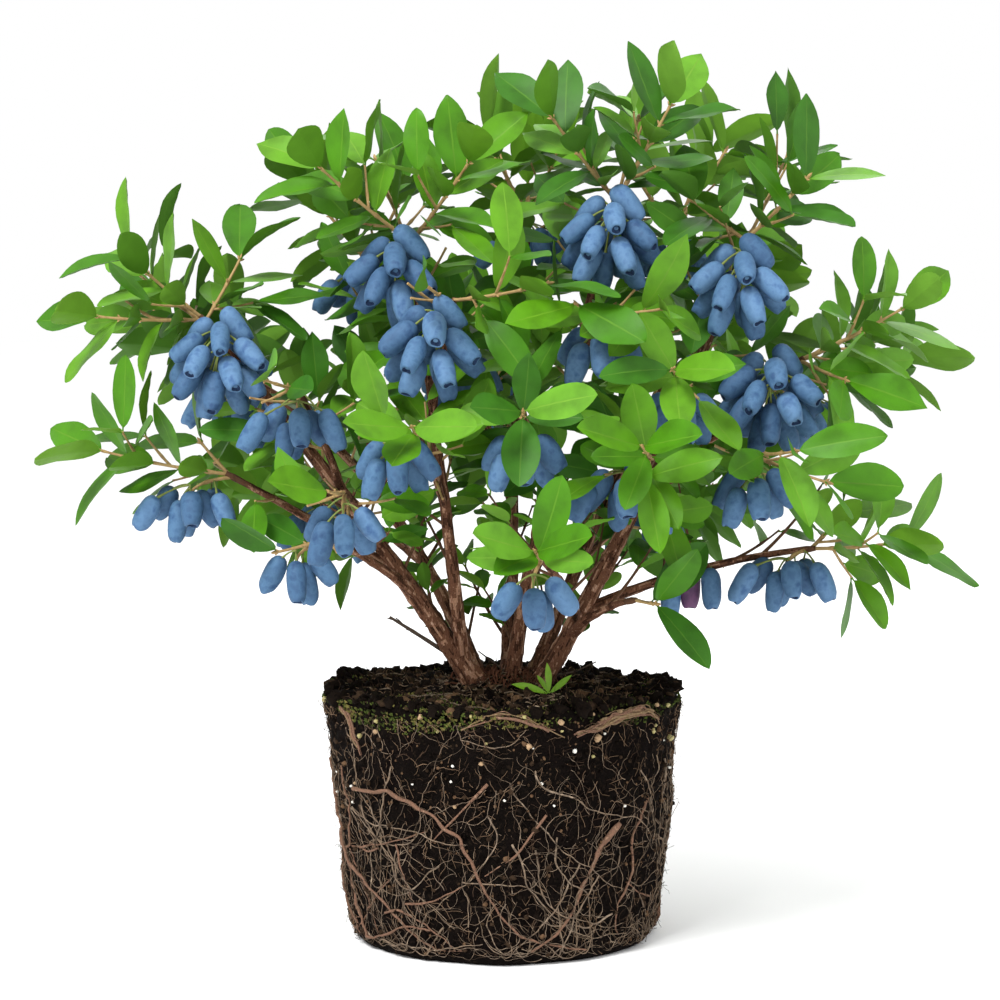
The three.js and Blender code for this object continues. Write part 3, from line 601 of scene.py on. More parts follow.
def root_shapes():
    """The roots, thick and fine, and the places on them where finer ones start."""
    thick, fine, starts = Shape(), Shape(), []
    for number, (radius, marks) in enumerate(FRONT_ROOTS):
        points = [((a - 90) * math.pi / 180 * RIM_RADIUS, h * (1.05 - 0.0011 * h)) for a, h in marks]
        line = smooth_line(points, 2.0)
        run = np.arange(len(line)) * 2.0
        line += 1.2 * noise(np.stack([run, 0 * run + number * 50, 0 * run], -1), 9, 3)[:, None]
        path = line / [RIM_RADIUS, 1]
        root_form(thick, path, radius * 0.85, 7, stream(FRONT_ROOT, number), 0.6)
        starts += [tuple(spot) for spot in path[::6]]
    bundle_forms(thick)
    for draw in streams("thick roots"):
        start = draw(-0.3, math.pi + 0.3), draw(64, 126), -draw(0.7, 2.4)
        path = wander(draw, *start, draw(90, 200), 2.5, 0.2)
        root_form(thick, path, draw(0.8, 1.5), 6, draw, 0.5)
        starts += [tuple(spot) for spot in path[::8]]
    for number, draw in enumerate(streams("thin roots")):
        top = 115 if number % 3 else RIM_HEIGHT - 2
        path = wander(draw, draw(0, ROUND), draw(14, top), -draw(0.3, 2.8), draw(40, 130), 2.5, 0.3)
        root_form(fine, path, draw(0.34, 0.6), 4, draw, 0.6)
        starts += [tuple(spot) for spot in path[::5]]
    for number, draw in enumerate(streams("fine roots")):
        if number % 2:
            turn, height = starts[int(draw(0, len(starts)))]
        else:
            turn, height = draw(0, ROUND), 4 + (RIM_HEIGHT - 6) * draw() ** 1.3
        if number % 3:
            course = math.pi / 2 * (1 if draw() < 0.5 else 3) + draw(-0.7, 0.7)
        else:
            course = draw(0, ROUND)
        path = wander(draw, turn, height, course, draw(14, 55), 2.5, 0.5)
        root_form(fine, path, draw(0.14, 0.27), 3, draw, draw(0.1, 1.5))
    for draw in streams("collar strands"):
        turn, radius = draw(0, ROUND), draw(6, 20)
        course = turn + draw(-0.7, 0.7)
        spot = 3 + direction(turn)[:2] * radius
        count = int(draw(4, 11))
        soil_strand(fine, draw, spot, course, count, lambda: 1.8 + 6 * draw() ** 3, 0.5, 2.6, (0.25, 0.65), 1)
    for draw in streams("soil strands"):
        turn, radius = draw(0, ROUND), draw(8, 96)
        spot, course = direction(turn)[:2] * radius, draw(0, ROUND)
        count = int(draw(6, 16))
        soil_strand(fine, draw, spot, course, count, lambda: 1.2 + draw(0, 2.0), 0.6, 3, (0.2, 0.5), 0)
    return thick, fine


def fibre_shape():
    """Hairs on the side of the ball, longer ones that stand off it, and chips on the soil."""
    fibres = Shape()
    for draw in streams("fibres"):
        turn, height = draw(0, ROUND), draw(4, RIM_HEIGHT - 1)
        path = wander(draw, turn, height, draw(0, ROUND), draw(6, 13), 2.4, 0.7)
        line = on_side(*path.T, draw(-0.2, 0.9))
        stray = unit(direction(turn, draw(-0.8, 0.5)))
        line += stray * (np.linspace(0, 1, len(line))[:, None] ** 2) * max(draw(-2.5, 3.0), 0)
        line[:, 2] = np.maximum(line[:, 2], 0.3)
        fibres.add_tube(line, draw(0.11, 0.2), 3, int(draw(0, 2.99)))
    for draw in streams("loose fibres"):
        turn, height = draw(0, ROUND), draw(6, RIM_HEIGHT - 1)
        path = wander(draw, turn, height, draw(0, ROUND), draw(8, 20), 2.0, 0.6)
        line = on_side(*path.T, 0.2)
        share = np.linspace(0, 1, len(line))[:, None]
        away = unit(direction(turn, draw(-1.2, 0.4)))
        line = line + away * share**1.5 * draw(2, 7) + noise(line, 3, 8)[:, None] * share
        line[:, 2] = np.maximum(line[:, 2], 0.4)
        fibres.add_tube(line, draw(0.12, 0.22), 3, int(draw(0, 2.99)))
    for draw in streams("soil chips"):
        base = soil_spot(draw(0, ROUND), 103 * math.sqrt(draw(0.01, 1)), draw(0, 2.5))
        way = heading(draw(0, 360), draw(-25, 75))
        reach = draw(2.5, 7.5)
        line = base + way * np.array([[0], [0.5], [1]]) * reach
        line[1] += heading(draw(0, 360), draw(-60, 60)) * 0.22 * reach
        fibres.add_tube(line, [draw(0.2, 0.4), 0.2, 0.1], 3, int(draw(0, 2.5)))
    return fibres


PEBBLE_ROWS = np.array([0.6, 1.25, 1.9, 2.55])[:, None]
PEBBLE_TURNS = np.arange(6) * math.pi / 3


def pebble(shape, spot, radius, draw, squash=1.0, marks=0, rough=0.3):
    """Adds a small irregular lump."""
    level, rise = np.sin(PEBBLE_ROWS), np.cos(PEBBLE_ROWS) * squash
    rings = [level * np.cos(PEBBLE_TURNS), level * np.sin(PEBBLE_TURNS), rise + 0 * PEBBLE_TURNS]
    form = np.concatenate([np.stack(rings, -1).reshape(-1, 3), [[0, 0, squash], [0, 0, -squash]]])
    form *= 1 + rough * noise(form + draw(0, 50), 0.6)[:, None]
    tilt = draw(-0.8, 0.8)
    c, s = math.cos(tilt), math.sin(tilt)
    form = form @ np.array([[1, 0, 0], [0, c, -s], [0, s, c]])
    shape.add(spot + form * radius, tube_faces(4, 6)[:, ::-1], marks)


def crumb_shape():
    crumbs = Shape()
    for draw in streams("soil crumbs"):
        turn, radius = draw(0, ROUND), RIM_RADIUS * math.sqrt(draw(0.02, 1.0))
        size = draw(0.8, 1.7) + 2.4 * draw() ** 4
        spot = soil_spot(turn, radius, size * 0.3 + 1)
        pebble(crumbs, spot, size, draw, draw(0.5, 1.0), int(draw(0, 2.3)), 0.75)
    for draw in streams("rim crumbs"):
        turn, radius = draw(0, ROUND), draw(94, 106.5)
        size = draw(1.6, 3.0) + 2.6 * draw() ** 3
        pebble(crumbs, soil_spot(turn, radius, size * 0.55), size, draw, draw(0.5, 1.2), 0, 0.85)
    for draw in streams("side crumbs"):
        spot = side_spot(draw(0, ROUND), draw(4, RIM_HEIGHT - 1), 0.2)
        pebble(crumbs, spot, draw(0.7, 2.2), draw, 0.8, int(draw(0, 2.2)), 0.5)
    for draw in streams("tiny crumbs"):
        spot = side_spot(draw(0, ROUND), RIM_HEIGHT - 2 - (RIM_HEIGHT - 8) * draw() ** 1.5, 0.4)
        turns = np.arange(5) * 0.4 * math.pi + draw(0, 6)
        rings = np.stack([np.cos(turns) * draw(0.6, 1), np.sin(turns) * draw(0.6, 1), 0 * turns + 0.5], -1)
        form = np.concatenate([rings, rings * [1, 1, -1], [[0, 0, 1], [0, 0, -1]]]) * draw(0.4, 1.15)
        crumbs.add(spot + form, tube_faces(2, 5)[:, ::-1], int(draw(0, 2.6)))
    return crumbs


def grain_shape():
    """White grit and feed grains on the side of the ball, more of them at the front."""
    grains = Shape()
    for number, draw in enumerate(streams("grit")):
        turn = draw(-math.pi, 0) if number % 2 else draw(0, ROUND)
        spot = side_spot(turn, draw(85, 142), 0.3)
        pebble(grains, spot, draw(0.45, 1.0) + draw() ** 4, draw, 0.8, 0, 0.5)
    for number, draw in enumerate(streams("feed grains")):
        turn = draw(-math.pi, 0) if number % 3 else draw(0, ROUND)
        spot = side_spot(turn, RIM_HEIGHT + 1 - 60 * draw() ** 2.4, 0.3)
        size = draw(0.8, 1.9) + 1.3 * draw() ** 3
        pebble(grains, spot, size, draw, draw(0.7, 1.0), 1 + int(draw(0, 1.8)), 0.35)
    return grains


# Where moss is thick: azimuth, width, amount
MOSS_PATCHES = ((232, 26, 1.0), (316, 24, 0.8))
# The seedling's foot, the way that its blades face, and each blade's azimuth, elevation, length
SEEDLING_FOOT, SEEDLING_FACE = (27.0, -42.0), (0.1, -0.8, 0.5)
SEEDLING = ((80, 84, 20), (-15, 40, 19), (185, 22, 24), (150, 60, 15))


def moss_shape():
    """Moss on the rim, and a seedling on the soil."""
    moss = Shape()
    for draw in streams("moss"):
        turn = draw(0, ROUND)
        patch = noise(direction(turn, 5 / 60)[None] * 60, 20, 7)[0]
        angle = math.degrees(turn)
        front = sum(much * math.exp(-(((angle - at) / wide) ** 2)) for at, wide, much in MOSS_PATCHES)
        if draw() > 0.2 + 0.7 * front + 0.5 * patch:
            continue
        if draw() < 0.22:
            deep = 3 + 8 * front + 3 * patch
            base = side_spot(turn, RIM_HEIGHT - max(deep, 1) * draw(), 0.2)
            grow = unit(direction(turn, 0.9))
        else:
            base = soil_spot(turn, RIM_RADIUS - (22 + 42 * front) * draw() ** 1.3, 1.2)
            grow = unit(direction(turn) * 0.3 + UP)
        grow = unit(grow + np.array([draw(-1, 1), draw(-1, 1), draw(-0.5, 0.5)]))
        line = np.array([base - grow * 0.6, base + grow * draw(0.5, 2.0)])
        radii = [draw(0.55, 1.05), 0.35]
        moss.add_tube(line, radii, 3, min(max(int(1.3 + 1.6 * patch + draw(-1, 1)), 0), 2))
    base = np.array([*SEEDLING_FOOT, float(soil_height(*SEEDLING_FOOT)) + 2.5])
    face = unit(np.array(SEEDLING_FACE))
    for azimuth, elevation, length in SEEDLING:
        way = heading(azimuth, elevation)
        pose = (base - way * 1.5, way, unit(face - way * (face @ way)), length)
        leaf_form(moss, pose, (length * 0.2, 0.25, 0.15, 0.0, 0, 0.05), 1, 3)
    return moss


# Limbs


class Limb:
    """A stem or bough: its curve and its radius along it, wider at the soil where it has a flare."""

    def __init__(self, name, curve, foot, tip, flare=0.0):
        self.name, self.curve, self.foot, self.tip, self.flare = name, curve, foot, tip, flare
        shares = np.linspace(0, 1, 15)
        self.line, self.radii = curve.spot(shares), self.radius_at(shares)

    def radius_at(self, share):
        wider = self.foot * self.flare
        above = np.maximum(0, share * self.curve.length - BURIED)
        return self.foot + (self.tip - self.foot) * share + wider * np.exp(-above / FLARE_HEIGHT)


def grow_limbs():
    limbs = {}
    for name, foot, lean, end, wide, narrow in STEMS:
        curve = Curve((*foot, SOIL_HEIGHT - BURIED), lean, end)
        limbs[name] = Limb(name, curve, wide, narrow, FLARE)
    for name, source, at, arch, end, *own in BOUGHS:
        parent = limbs[source]
        start, finish = parent.curve.spot(at), np.array(end, float)
        curve = Curve(start, (start + finish) / 2 + UP * arch, finish)
        wide, narrow = (*own, *(float(parent.radius_at(at)) * BOUGH_SHARE, BOUGH_TIP_RADIUS)[len(own) :])
        limbs[name] = Limb(name, curve, wide, narrow)
    return limbs


def bark_form(shape, limb, number, sides):
    """Adds a limb with ridges, flakes and old nodes in its bark, streaked along its length."""
    rows = int(limb.curve.length / BARK_STEP)
    shares = np.linspace(0, 1, rows)
    radii = limb.radius_at(shares)
    turns = np.arange(sides) * 2 * math.pi / sides
    run = np.broadcast_to((shares * limb.curve.length)[:, None], (rows, sides))
    wide = radii[:, None]
    place = np.stack([np.cos(turns) * wide, np.sin(turns) * wide, run * 0.17], -1) + number * 40
    streaks = noise(place, 1.25, 11)
    flakes = noise(place * [1, 1, 2.4], 2.3, 13)
    ridges = streaks * 0.09 + noise(place, 3.5, 12) * 0.09 + np.maximum(flakes - 0.2, 0) * 0.22
    nodes = 0.2 * np.maximum(np.cos(run * 2 * math.pi / (19 + number % 5)), 0.85) - 0.17
    low = np.exp(-np.maximum(run - BURIED, 0) / 16) * 0.2 * np.sin(turns * 3 + number)
    relief = (ridges + nodes + low) * wide
    bend = noise(np.stack([run[:, 0], run[:, 0] * 0, run[:, 0] * 0], -1) + number * 77, 24, 14)
    ease = np.sin(np.pi * shares) * 1.6
    side = unit(np.cross(limb.curve.way(shares), UP + [0.01, 0.02, 0]))
    line = limb.curve.spot(shares) + side * (bend * ease)[:, None]
    tint = streaks[:-1] * 0.9 + flakes[:-1] * 0.4 + 0.25 * noise(place[:-1], 9, 16)
    marks = np.where(tint < -0.32, 1, np.where(tint > 0.38, 2, 0)).repeat(2, axis=1).ravel()
    shape.add_tube(line, radii, sides, np.concatenate([marks, np.zeros(2 * sides, int)]), relief)


# Sprays and fruit


class Spray:
    """The frame of a spray of leaves and fruit on the tip of a limb."""

    def __init__(self, index, name, fruit, hang, shoots, stem=None):
        self.index, self.name, self.fruit = index, "spray_" + name, fruit
        self.limb = limbs[stem or "bough_" + name]
        self.tone = (index * 2 + index // 3) % len(GREENS)
        along = self.limb.curve.way(1.0)
        self.base = self.limb.curve.spot(1.0) + along * CLEARANCE
        self.fork = self.base + along * FORK_LENGTH
        self.spur = self.fork + np.array([hang[0], hang[1], hang[2] * SPUR_FALL])
        self.centre = self.fork + np.array(hang, float)
        starts = [self.fork - along * (FORK_INSET + FORK_STEP * rank) for rank in range(len(shoots) + 1)]
        self.spur_foot = starts[-1]
        self.shoots = []
        for start, (azimuth, elevation, length) in zip(starts, shoots):
            tip = self.fork + heading(azimuth, elevation) * length
            self.shoots.append(Curve(start, (start + tip) / 2 - UP * length * SHOOT_SAG, tip))
        self.lines = [[self.base, self.fork], [self.spur_foot, self.spur, self.centre]]
        self.lines += [shoot.at(np.linspace(0, 1, 5)) for shoot in self.shoots]


def nearest_on(lines, spot):
    """The nearest point to a spot on any of several lines of points."""
    starts = np.concatenate([np.asarray(line)[:-1] for line in lines])
    ends = np.concatenate([np.asarray(line)[1:] for line in lines])
    spans = ends - starts
    share = ((spot - starts) * spans).sum(1) / np.maximum((spans**2).sum(1), 1e-9)
    near = starts + spans * np.clip(share, 0, 1)[:, None]
    return near[np.linalg.norm(near - spot, axis=1).argmin()]


def push_from_limb(spot, limb, gap):
    """How far, and which way, a spot has to move to lie a gap clear of a limb."""
    gaps = np.linalg.norm(limb.line - spot, axis=1)
    if gaps.min() > LIMB_REACH:
        return 0
    near = nearest_on([limb.line], spot)
    share = (near[2] - limb.line[0][2]) / (limb.line[-1][2] - limb.line[0][2])
    away = spot - near
    short = float(limb.radius_at(min(max(share, 0), 1))) + gap - np.linalg.norm(away)
    return unit(away) * short if short > 0 else 0


def pack_fruit(spray):
    """Centres and directions of a bunch of fruit, pushed apart as in the solid model."""
    count = round(spray.fruit * FRUIT_MORE)
    if not count:
        return []
    size = count ** (1 / 3) * FRUIT_RADIUS * FRUIT_CROWD
    reach = np.array([[-0.5], [0], [0.5]]) * (FRUIT_LENGTH - 1.7 * FRUIT_RADIUS)
    index = np.arange(count)
    height = 1 - (2 * index + 1) / count
    ring = np.sqrt(1 - height**2) * size
    turn = index * GOLDEN_ANGLE
    spots = np.stack([np.cos(turn) * ring, np.sin(turn) * ring, height * size * 0.95], -1)
    splay = FRUIT_SPLAY
    if spray.fruit < FEW_FRUIT:
        spots, splay = spots * ROW_STRETCH, ROW_SPLAY
    ways = spots * splay / size * [1, 1, 0]
    ways[:, 2] = -0.8 + 0.45 * height
    ways = unit(ways)
    spots = spots + spray.centre
    forks = [np.linalg.norm(other.fork - spray.fork) for other in sprays]
    others = [other for other, far in zip(sprays, forks) if 0 < far < CROWD_REACH]
    for _ in range(PACK_ROUNDS):
        for i in range(count):
            for j in range(i):
                apart = spots[i] + ways[i] * reach - (spots[j] + ways[j] * reach)[:, None]
                gaps = np.linalg.norm(apart, axis=-1)
                length = gaps.min()
                push = (2 * FRUIT_RADIUS - length) / 2
                if push > 0:
                    apart = apart[np.unravel_index(gaps.argmin(), gaps.shape)] / length * push
                    spots[i] += apart
                    spots[j] -= apart
            for limb in limbs.values():
                spots[i] += push_from_limb(spots[i], limb, FRUIT_RADIUS + LIMB_GAP)
            own = np.linalg.norm(nearest_on(spray.lines, spots[i]) - spots[i])
            for other in others:
                away = spots[i] - nearest_on(other.lines, spots[i])
                length = np.linalg.norm(away)
                push = (own + FRUIT_RADIUS - length) / 2
                if push > 0:
                    spots[i] += away / length * push * CROWD_PUSH
    return list(zip(spots, ways))


# Share of its length and of its radius along a fruit, from its stalk into the ring at its free end
FRUIT_PROFILE = np.array([
    (0, 0.22), (0.02, 0.42), (0.07, 0.66), (0.16, 0.86), (0.3, 0.98), (0.45, 1.0), (0.6, 0.98), (0.74, 0.93),
    (0.86, 0.84), (0.935, 0.73), (0.975, 0.64), (1.0, 0.53), (0.995, 0.42), (0.955, 0.33), (0.93, 0.2),
])
FRUIT_ROWS, FRUIT_SIDES, SHADED_CRATER_ROWS = len(FRUIT_PROFILE), 14, 2


def fruit_form(shape, centre, way, draw):
    """Adds a barrel-shaped fruit with the sunken ring that its flower left at the free end, the ring's inner
    wall painted dark as shade in the hollow.
    """
    length = FRUIT_LENGTH * draw(0.88, 1.08)
    radius = FRUIT_RADIUS * draw(0.88, 1.04)
    side = unit(np.cross(way, heading(draw(0, 360), draw(-20, 20))))
    other = np.cross(way, side)
    turns = np.arange(FRUIT_SIDES) * 2 * math.pi / FRUIT_SIDES
    run, wide = FRUIT_PROFILE[:, :1], FRUIT_PROFILE[:, 1:]
    bend = draw(-0.08, 0.08) * radius * 4 * run * (1 - run)
    fuller = 1 + draw(-0.08, 0.08) * (run - 0.5)
    lobes = draw(0.06, 0.14) * np.sin(2 * turns + draw(0, 6))
    lobes = lobes + draw(0.04, 0.1) * np.sin(3 * turns + draw(0, 6))
    uneven = np.clip((run - 0.9) * 10, 0, 1) * lobes
    across = np.cos(turns) * wide * (1 + uneven) * radius * draw(0.93, 1.05) * fuller + bend
    sideways = np.sin(turns) * wide * (1 + uneven) * radius * fuller
    down = (run - 0.5 + uneven * 0.12) * length
    rings = centre + way * down[..., None] + side * across[..., None] + other * sideways[..., None]
    ends = np.stack([centre - way * length / 2, centre + way * length * 0.45])
    spots = np.concatenate([rings.reshape(-1, 3), ends])
    spots += unit(spots - centre) * (noise(spots, 7, 21) * 0.36)[:, None]
    faces = tube_faces(FRUIT_ROWS, FRUIT_SIDES)
    # The crater's inner wall gets the second material, a near-black blue that is painted shade in the hollow
    marks = np.zeros(len(faces), int)
    marks[(FRUIT_ROWS - 1 - SHADED_CRATER_ROWS) * FRUIT_SIDES * 2 : (FRUIT_ROWS - 1) * FRUIT_SIDES * 2] = 1
    shape.add(spots, faces, marks)
    return centre - way * (length / 2 - 1)


# Space taken by what has grown so far, in small cells
CELL = 2.4
MARGIN, EDGE, SOIL_GAP = 20, 6, 6
LOW, HIGH = (np.array(corner) / MM for corner in cad_box)
CELLS = np.ceil((HIGH + MARGIN - (LOW - MARGIN)) / CELL).astype(int)
taken, shaded = np.zeros(CELLS, bool), np.zeros(CELLS, bool)
NEIGHBOURS = np.array([(0, 0, 0), (1, 0, 0), (-1, 0, 0), (0, 1, 0), (0, -1, 0), (0, 0, 1), (0, 0, -1)])
# The places ahead of a fruit, towards the front and a little up, that leaves keep clear of
AHEAD = np.array([0, -1, 0.1]) * (FRUIT_RADIUS + np.arange(1, 16) * CELL)[:, None, None]


def cells_of(spots):
    cells = np.floor((np.reshape(spots, (-1, 3)) - (LOW - MARGIN)) / CELL).astype(int)
    return np.clip(cells, 1, CELLS - 2)


def take(spots, wide=False):
    cells = cells_of(spots)
    if wide:
        cells = (cells[:, None] + NEIGHBOURS).reshape(-1, 3)
    taken[tuple(cells.T)] = True


def shade(spots):
    """Keeps leaves, though not twigs, away from places."""
    shaded[tuple(cells_of(spots).T)] = True


def is_free(spots, leaf=False):
    """Whether points are in free air, inside the solid model's reach and off the soil."""
    spots = np.reshape(spots, (-1, 3))
    inside = (spots > LOW - EDGE).all() and (spots < HIGH + EDGE).all()
    on_ball = (spots[:, 2] < SOIL_HEIGHT + SOIL_GAP) & (np.hypot(*spots.T[:2]) < RIM_RADIUS + RIM_ROUND)
    cells = tuple(cells_of(spots).T)
    return inside and not (on_ball.any() or taken[cells].any() or leaf and shaded[cells].any())


# Leaves


def leaf_pose(curve, share, roll, lean, length):
    """Root, direction, face and length of a leaf, by the same rule as in the solid model."""
    along = curve.way(share)
    level = unit(np.cross(along, UP))
    turn, angle = math.radians(roll), math.radians(lean)
    outward = level * math.cos(turn) + np.cross(along, level) * math.sin(turn)
    way = along * math.cos(angle) + outward * math.sin(angle)
    root = curve.spot(share)
    inner = unit(along - way * math.cos(angle))
    away = unit(np.array([root[0] * FACE_SIDE, root[1] - FACE_MIDDLE, 0]))
    face = inner * FACE_SHOOT + UP * FACE_UP + away * FACE_OUT
    return root, way, unit(face - way * (face @ way)), length


def half_width(shares, point):
    """Half width of a leaf along its length, the tip more pointed or less, as a share of its widest."""
    return np.maximum(np.sin(math.pi * np.clip(shares, 0, 1)) ** (0.6 + point * shares), 0.03)


# How pointed a blunt and a pointed leaf are
POINTS = (0.04, 0.36)
BLADE_ROWS = 12
BLADE_SPREAD = np.array([-1, -0.55, -0.045, 0.045, 0.55, 1])
BLADE_STEPS = np.linspace(0, 1, BLADE_ROWS)[:, None]
BLADE_SHARES = 0.55 * BLADE_STEPS + 0.45 * (1 - np.cos(math.pi * BLADE_STEPS)) / 2
BLADE_HALVES = [half_width(BLADE_SHARES, point) for point in POINTS]
BLADE_RIDGES = np.where(np.arange(BLADE_ROWS) % 2, 1, -1)[:, None]
BLADE_VEIN = BLADE_RIDGES * np.where(np.abs(BLADE_SPREAD) < 0.9, 1, 0.3)
PETIOLE = 2.6
# The points of a leaf that are tested for room
TEST_SHARES = np.linspace(0.13, 1, 16)[:, None] + 0 * np.linspace(-1, 1, 7)
TEST_SPREAD = np.linspace(-1, 1, 7) + 0 * TEST_SHARES
TEST_HALVES = [half_width(TEST_SHARES, point) for point in POINTS]


def blade_topology():
    """Triangles of a leaf whose top and underside share their rim, and which of the three they are."""
    columns = len(BLADE_SPREAD)
    count = BLADE_ROWS * columns
    top = grid_faces(BLADE_ROWS, columns, False)
    under = np.arange(count).reshape(BLADE_ROWS, -1) + count
    under[:, [0, -1]] -= count
    under[[0, -1], 1:-1] -= count
    below = under.ravel()[top]
    strip = (np.arange(len(top)) // 2) % (columns - 1)
    apart = (below != top).any(axis=1)
    top, below, marks = top[apart], below[apart], np.where(strip == 2, 1, 0)[apart]
    faces = np.concatenate([top[:, ::-1], below])
    used = np.unique(faces)
    order = np.full(2 * count, -1)
    order[used] = np.arange(len(used))
    return used, order[faces], np.concatenate([marks, np.full(len(top), 2)])


BLADE_USED, BLADE_FACES, BLADE_MARKS = blade_topology()


def blade_spots(pose, width, fold, droop, wave, phase, sway, shares, spread, half, vein=0.0):
    """Points of a leaf's top: folded on the midrib, arched, wavy at the edge."""
    root, way, face, length = pose
    side = np.cross(face, way)
    across = spread * half * width / 2
    run = PETIOLE + (length - PETIOLE) * (shares + 0.045 * np.abs(spread) * 4 * shares * (1 - shares))
    lift = (
        np.abs(across) * fold
        - droop * length * shares**1.8
        + wave * width * np.abs(spread) ** 2 * np.sin(shares * 9 + phase + np.sign(spread))
        + vein
        - 0.25 * (np.abs(spread) < 0.1) * np.sin(math.pi * shares)
    )
    bend = across + sway * length * shares**2
    return root + way * run[..., None] + side * bend[..., None] + face * lift[..., None]


def leaf_form(shape, pose, looks, tip, mark=0):
    """Adds a leaf of two skins on a short stalk."""
    half = BLADE_HALVES[tip]
    vein = BLADE_VEIN * 0.16 * np.minimum(half * 1.5, 1)
    shares, spread = BLADE_SHARES + 0 * BLADE_SPREAD, BLADE_SPREAD + 0 * BLADE_SHARES
    top = blade_spots(pose, *looks, shares, spread, half, vein)
    under = top - pose[2] * (0.3 + 0.35 * (np.abs(spread) < 0.1))[..., None]
    spots = np.concatenate([top.reshape(-1, 3), under.reshape(-1, 3)])[BLADE_USED]
    shape.add(spots, BLADE_FACES, mark or BLADE_MARKS)
    stalk = np.stack([pose[0] - pose[1] * 0.3, pose[0] + pose[1] * (PETIOLE + 1.2)])
    shape.add_tube(stalk, [0.6, 0.42], 4, mark or 1)


def grow_leaf(shape, curve, share, roll, lean, size, keys):
    """Adds a leaf where it finds room, turning it a little further at each try."""
    draw = stream(*keys)
    for attempt in range(LEAF_TRIES):
        spread = 1 + attempt * TRY_SPREAD
        turned = roll + (draw() - 0.5) * ROLL_JITTER * spread
        leaned = lean + (draw() - 0.5) * LEAN_JITTER * spread
        length = size * (1 + (draw() - 0.5) * LENGTH_JITTER)
        pose = leaf_pose(curve, share, turned, leaned, length)
        width, fold, droop = length * LEAF_WIDTH * draw(0.9, 1.12), draw(-0.1, 0.42), draw(-0.02, 0.24)
        looks = (width, fold, droop, draw(0.0, 0.06), draw(0, 6), draw(-0.05, 0.05))
        tip = int(draw() > np.interp(pose[0][2], POINTED_HEIGHTS, BLUNT_SHARES))
        test = blade_spots(pose, *looks, TEST_SHARES, TEST_SPREAD, TEST_HALVES[tip])
        if is_free(test, leaf=True):
            take(test, wide=True)
            leaf_form(shape, pose, looks, tip)
            return


def twig_form(shape, curve, foot, tip, nodes):
    """Adds a young shoot, swollen at its nodes."""
    shares = np.linspace(0, 1, max(int(curve.length / 2.6), 5))
    radii = foot + (tip - foot) * shares
    for node in nodes:
        radii = radii * (1 + 0.45 * np.exp(-(((shares - node) * curve.length / 1.6) ** 2)))
    shape.add_tube(curve.spot(shares), radii, 6)


def bud_form(shape, spot, way, radius):
    """Adds a small pointed bud."""
    line = spot + way * np.array([[-0.5], [1.0], [2.4], [3.6]]) * radius
    shape.add_tube(line, np.array([0.7, 1.0, 0.75, 0.1]) * radius, 5, 1)


# Growing the wood

limbs = grow_limbs()
sprays = [Spray(index, *row) for index, row in enumerate(SPRAYS)]
for limb in limbs.values():
    steps = limb.curve.points(0.05, 1, 120)
    take(steps, wide=True)
    if limb.radii.max() > 3:
        for azimuth in (0, 90, 180, 270):
            take(steps + heading(azimuth, 0) * limb.radius_at(np.linspace(0.05, 1, 120))[:, None])

stems, boughs, dead = Shape(), Shape(), Shape()
for number, limb in enumerate(limbs.values()):
    if limb.name.startswith("stem"):
        bark_form(stems, limb, number, 34)
    elif limb.name.startswith("bough"):
        bark_form(boughs, limb, number, 18)
    else:
        bark_form(dead, limb, number, 8)
        draw = stream(DEAD_END, number)
        for share in (0.45, 0.62, 0.8, 0.93):
            way = unit(limb.curve.way(share) + heading(draw(90, 270), draw(-40, 60)) * 0.8)
            foot = limb.curve.spot(share)
            reach = draw(3, 9)
            curve = Curve(foot, foot + way * reach * 0.5 + UP * draw(-1, 1), foot + way * reach)
            dead.add_tube(curve.points(0, 1, 5), np.linspace(0.6, 0.3, 5), 5)

for name, low, high in SHOWN_LIMBS:
    for spot in limbs[name].curve.points(low, high, 100):
        ahead = unit(FRONT_VIEW - spot) * np.arange(8, SHOWN_AHEAD, CELL / 2)[:, None]
        for aside in np.linspace(-SHOWN_HALF, SHOWN_HALF, 5):
            shade(spot + ahead + [aside, 0, 0])

low_twigs = []
for number, (name, share, azimuth, elevation, length) in enumerate(LOW_TWIGS):
    draw = stream(LOW_TWIG, number)
    root = limbs[name].curve.spot(share)
    tip = root + heading(azimuth, elevation) * length
    curve = Curve(root, (root + tip) / 2 + UP * draw(-6, 4) + heading(draw(0, 360), 0) * draw(1, 5), tip)
    path = curve.points(0, 1, 20)
    take(path)
    if length < BARE_BELOW:
        path += noise(path, 7, 17)[:, None] * np.linspace(0, 1.2, 20)[:, None]
        dead.add_tube(path, np.linspace(0.8, 0.4, 20), 6)
    else:
        low_twigs.append(curve)

# The young wood: each spray's short stem, its shoots and the spur that its fruit hang on
young, stalks, forks = Shape(), Shape(), Shape()
fruits = [Shape() for _ in BLOOMS]
for spray in sprays:
    line = np.array([spray.limb.curve.spot(0.97), spray.base, (spray.base + spray.fork) / 2, spray.fork])
    forks.add_tube(line, [1.7, 2.0, 2.1, 1.5], 8)
    for shoot in spray.shoots:
        take(shoot.points(0.1, 1, 40))


# Hanging the fruit


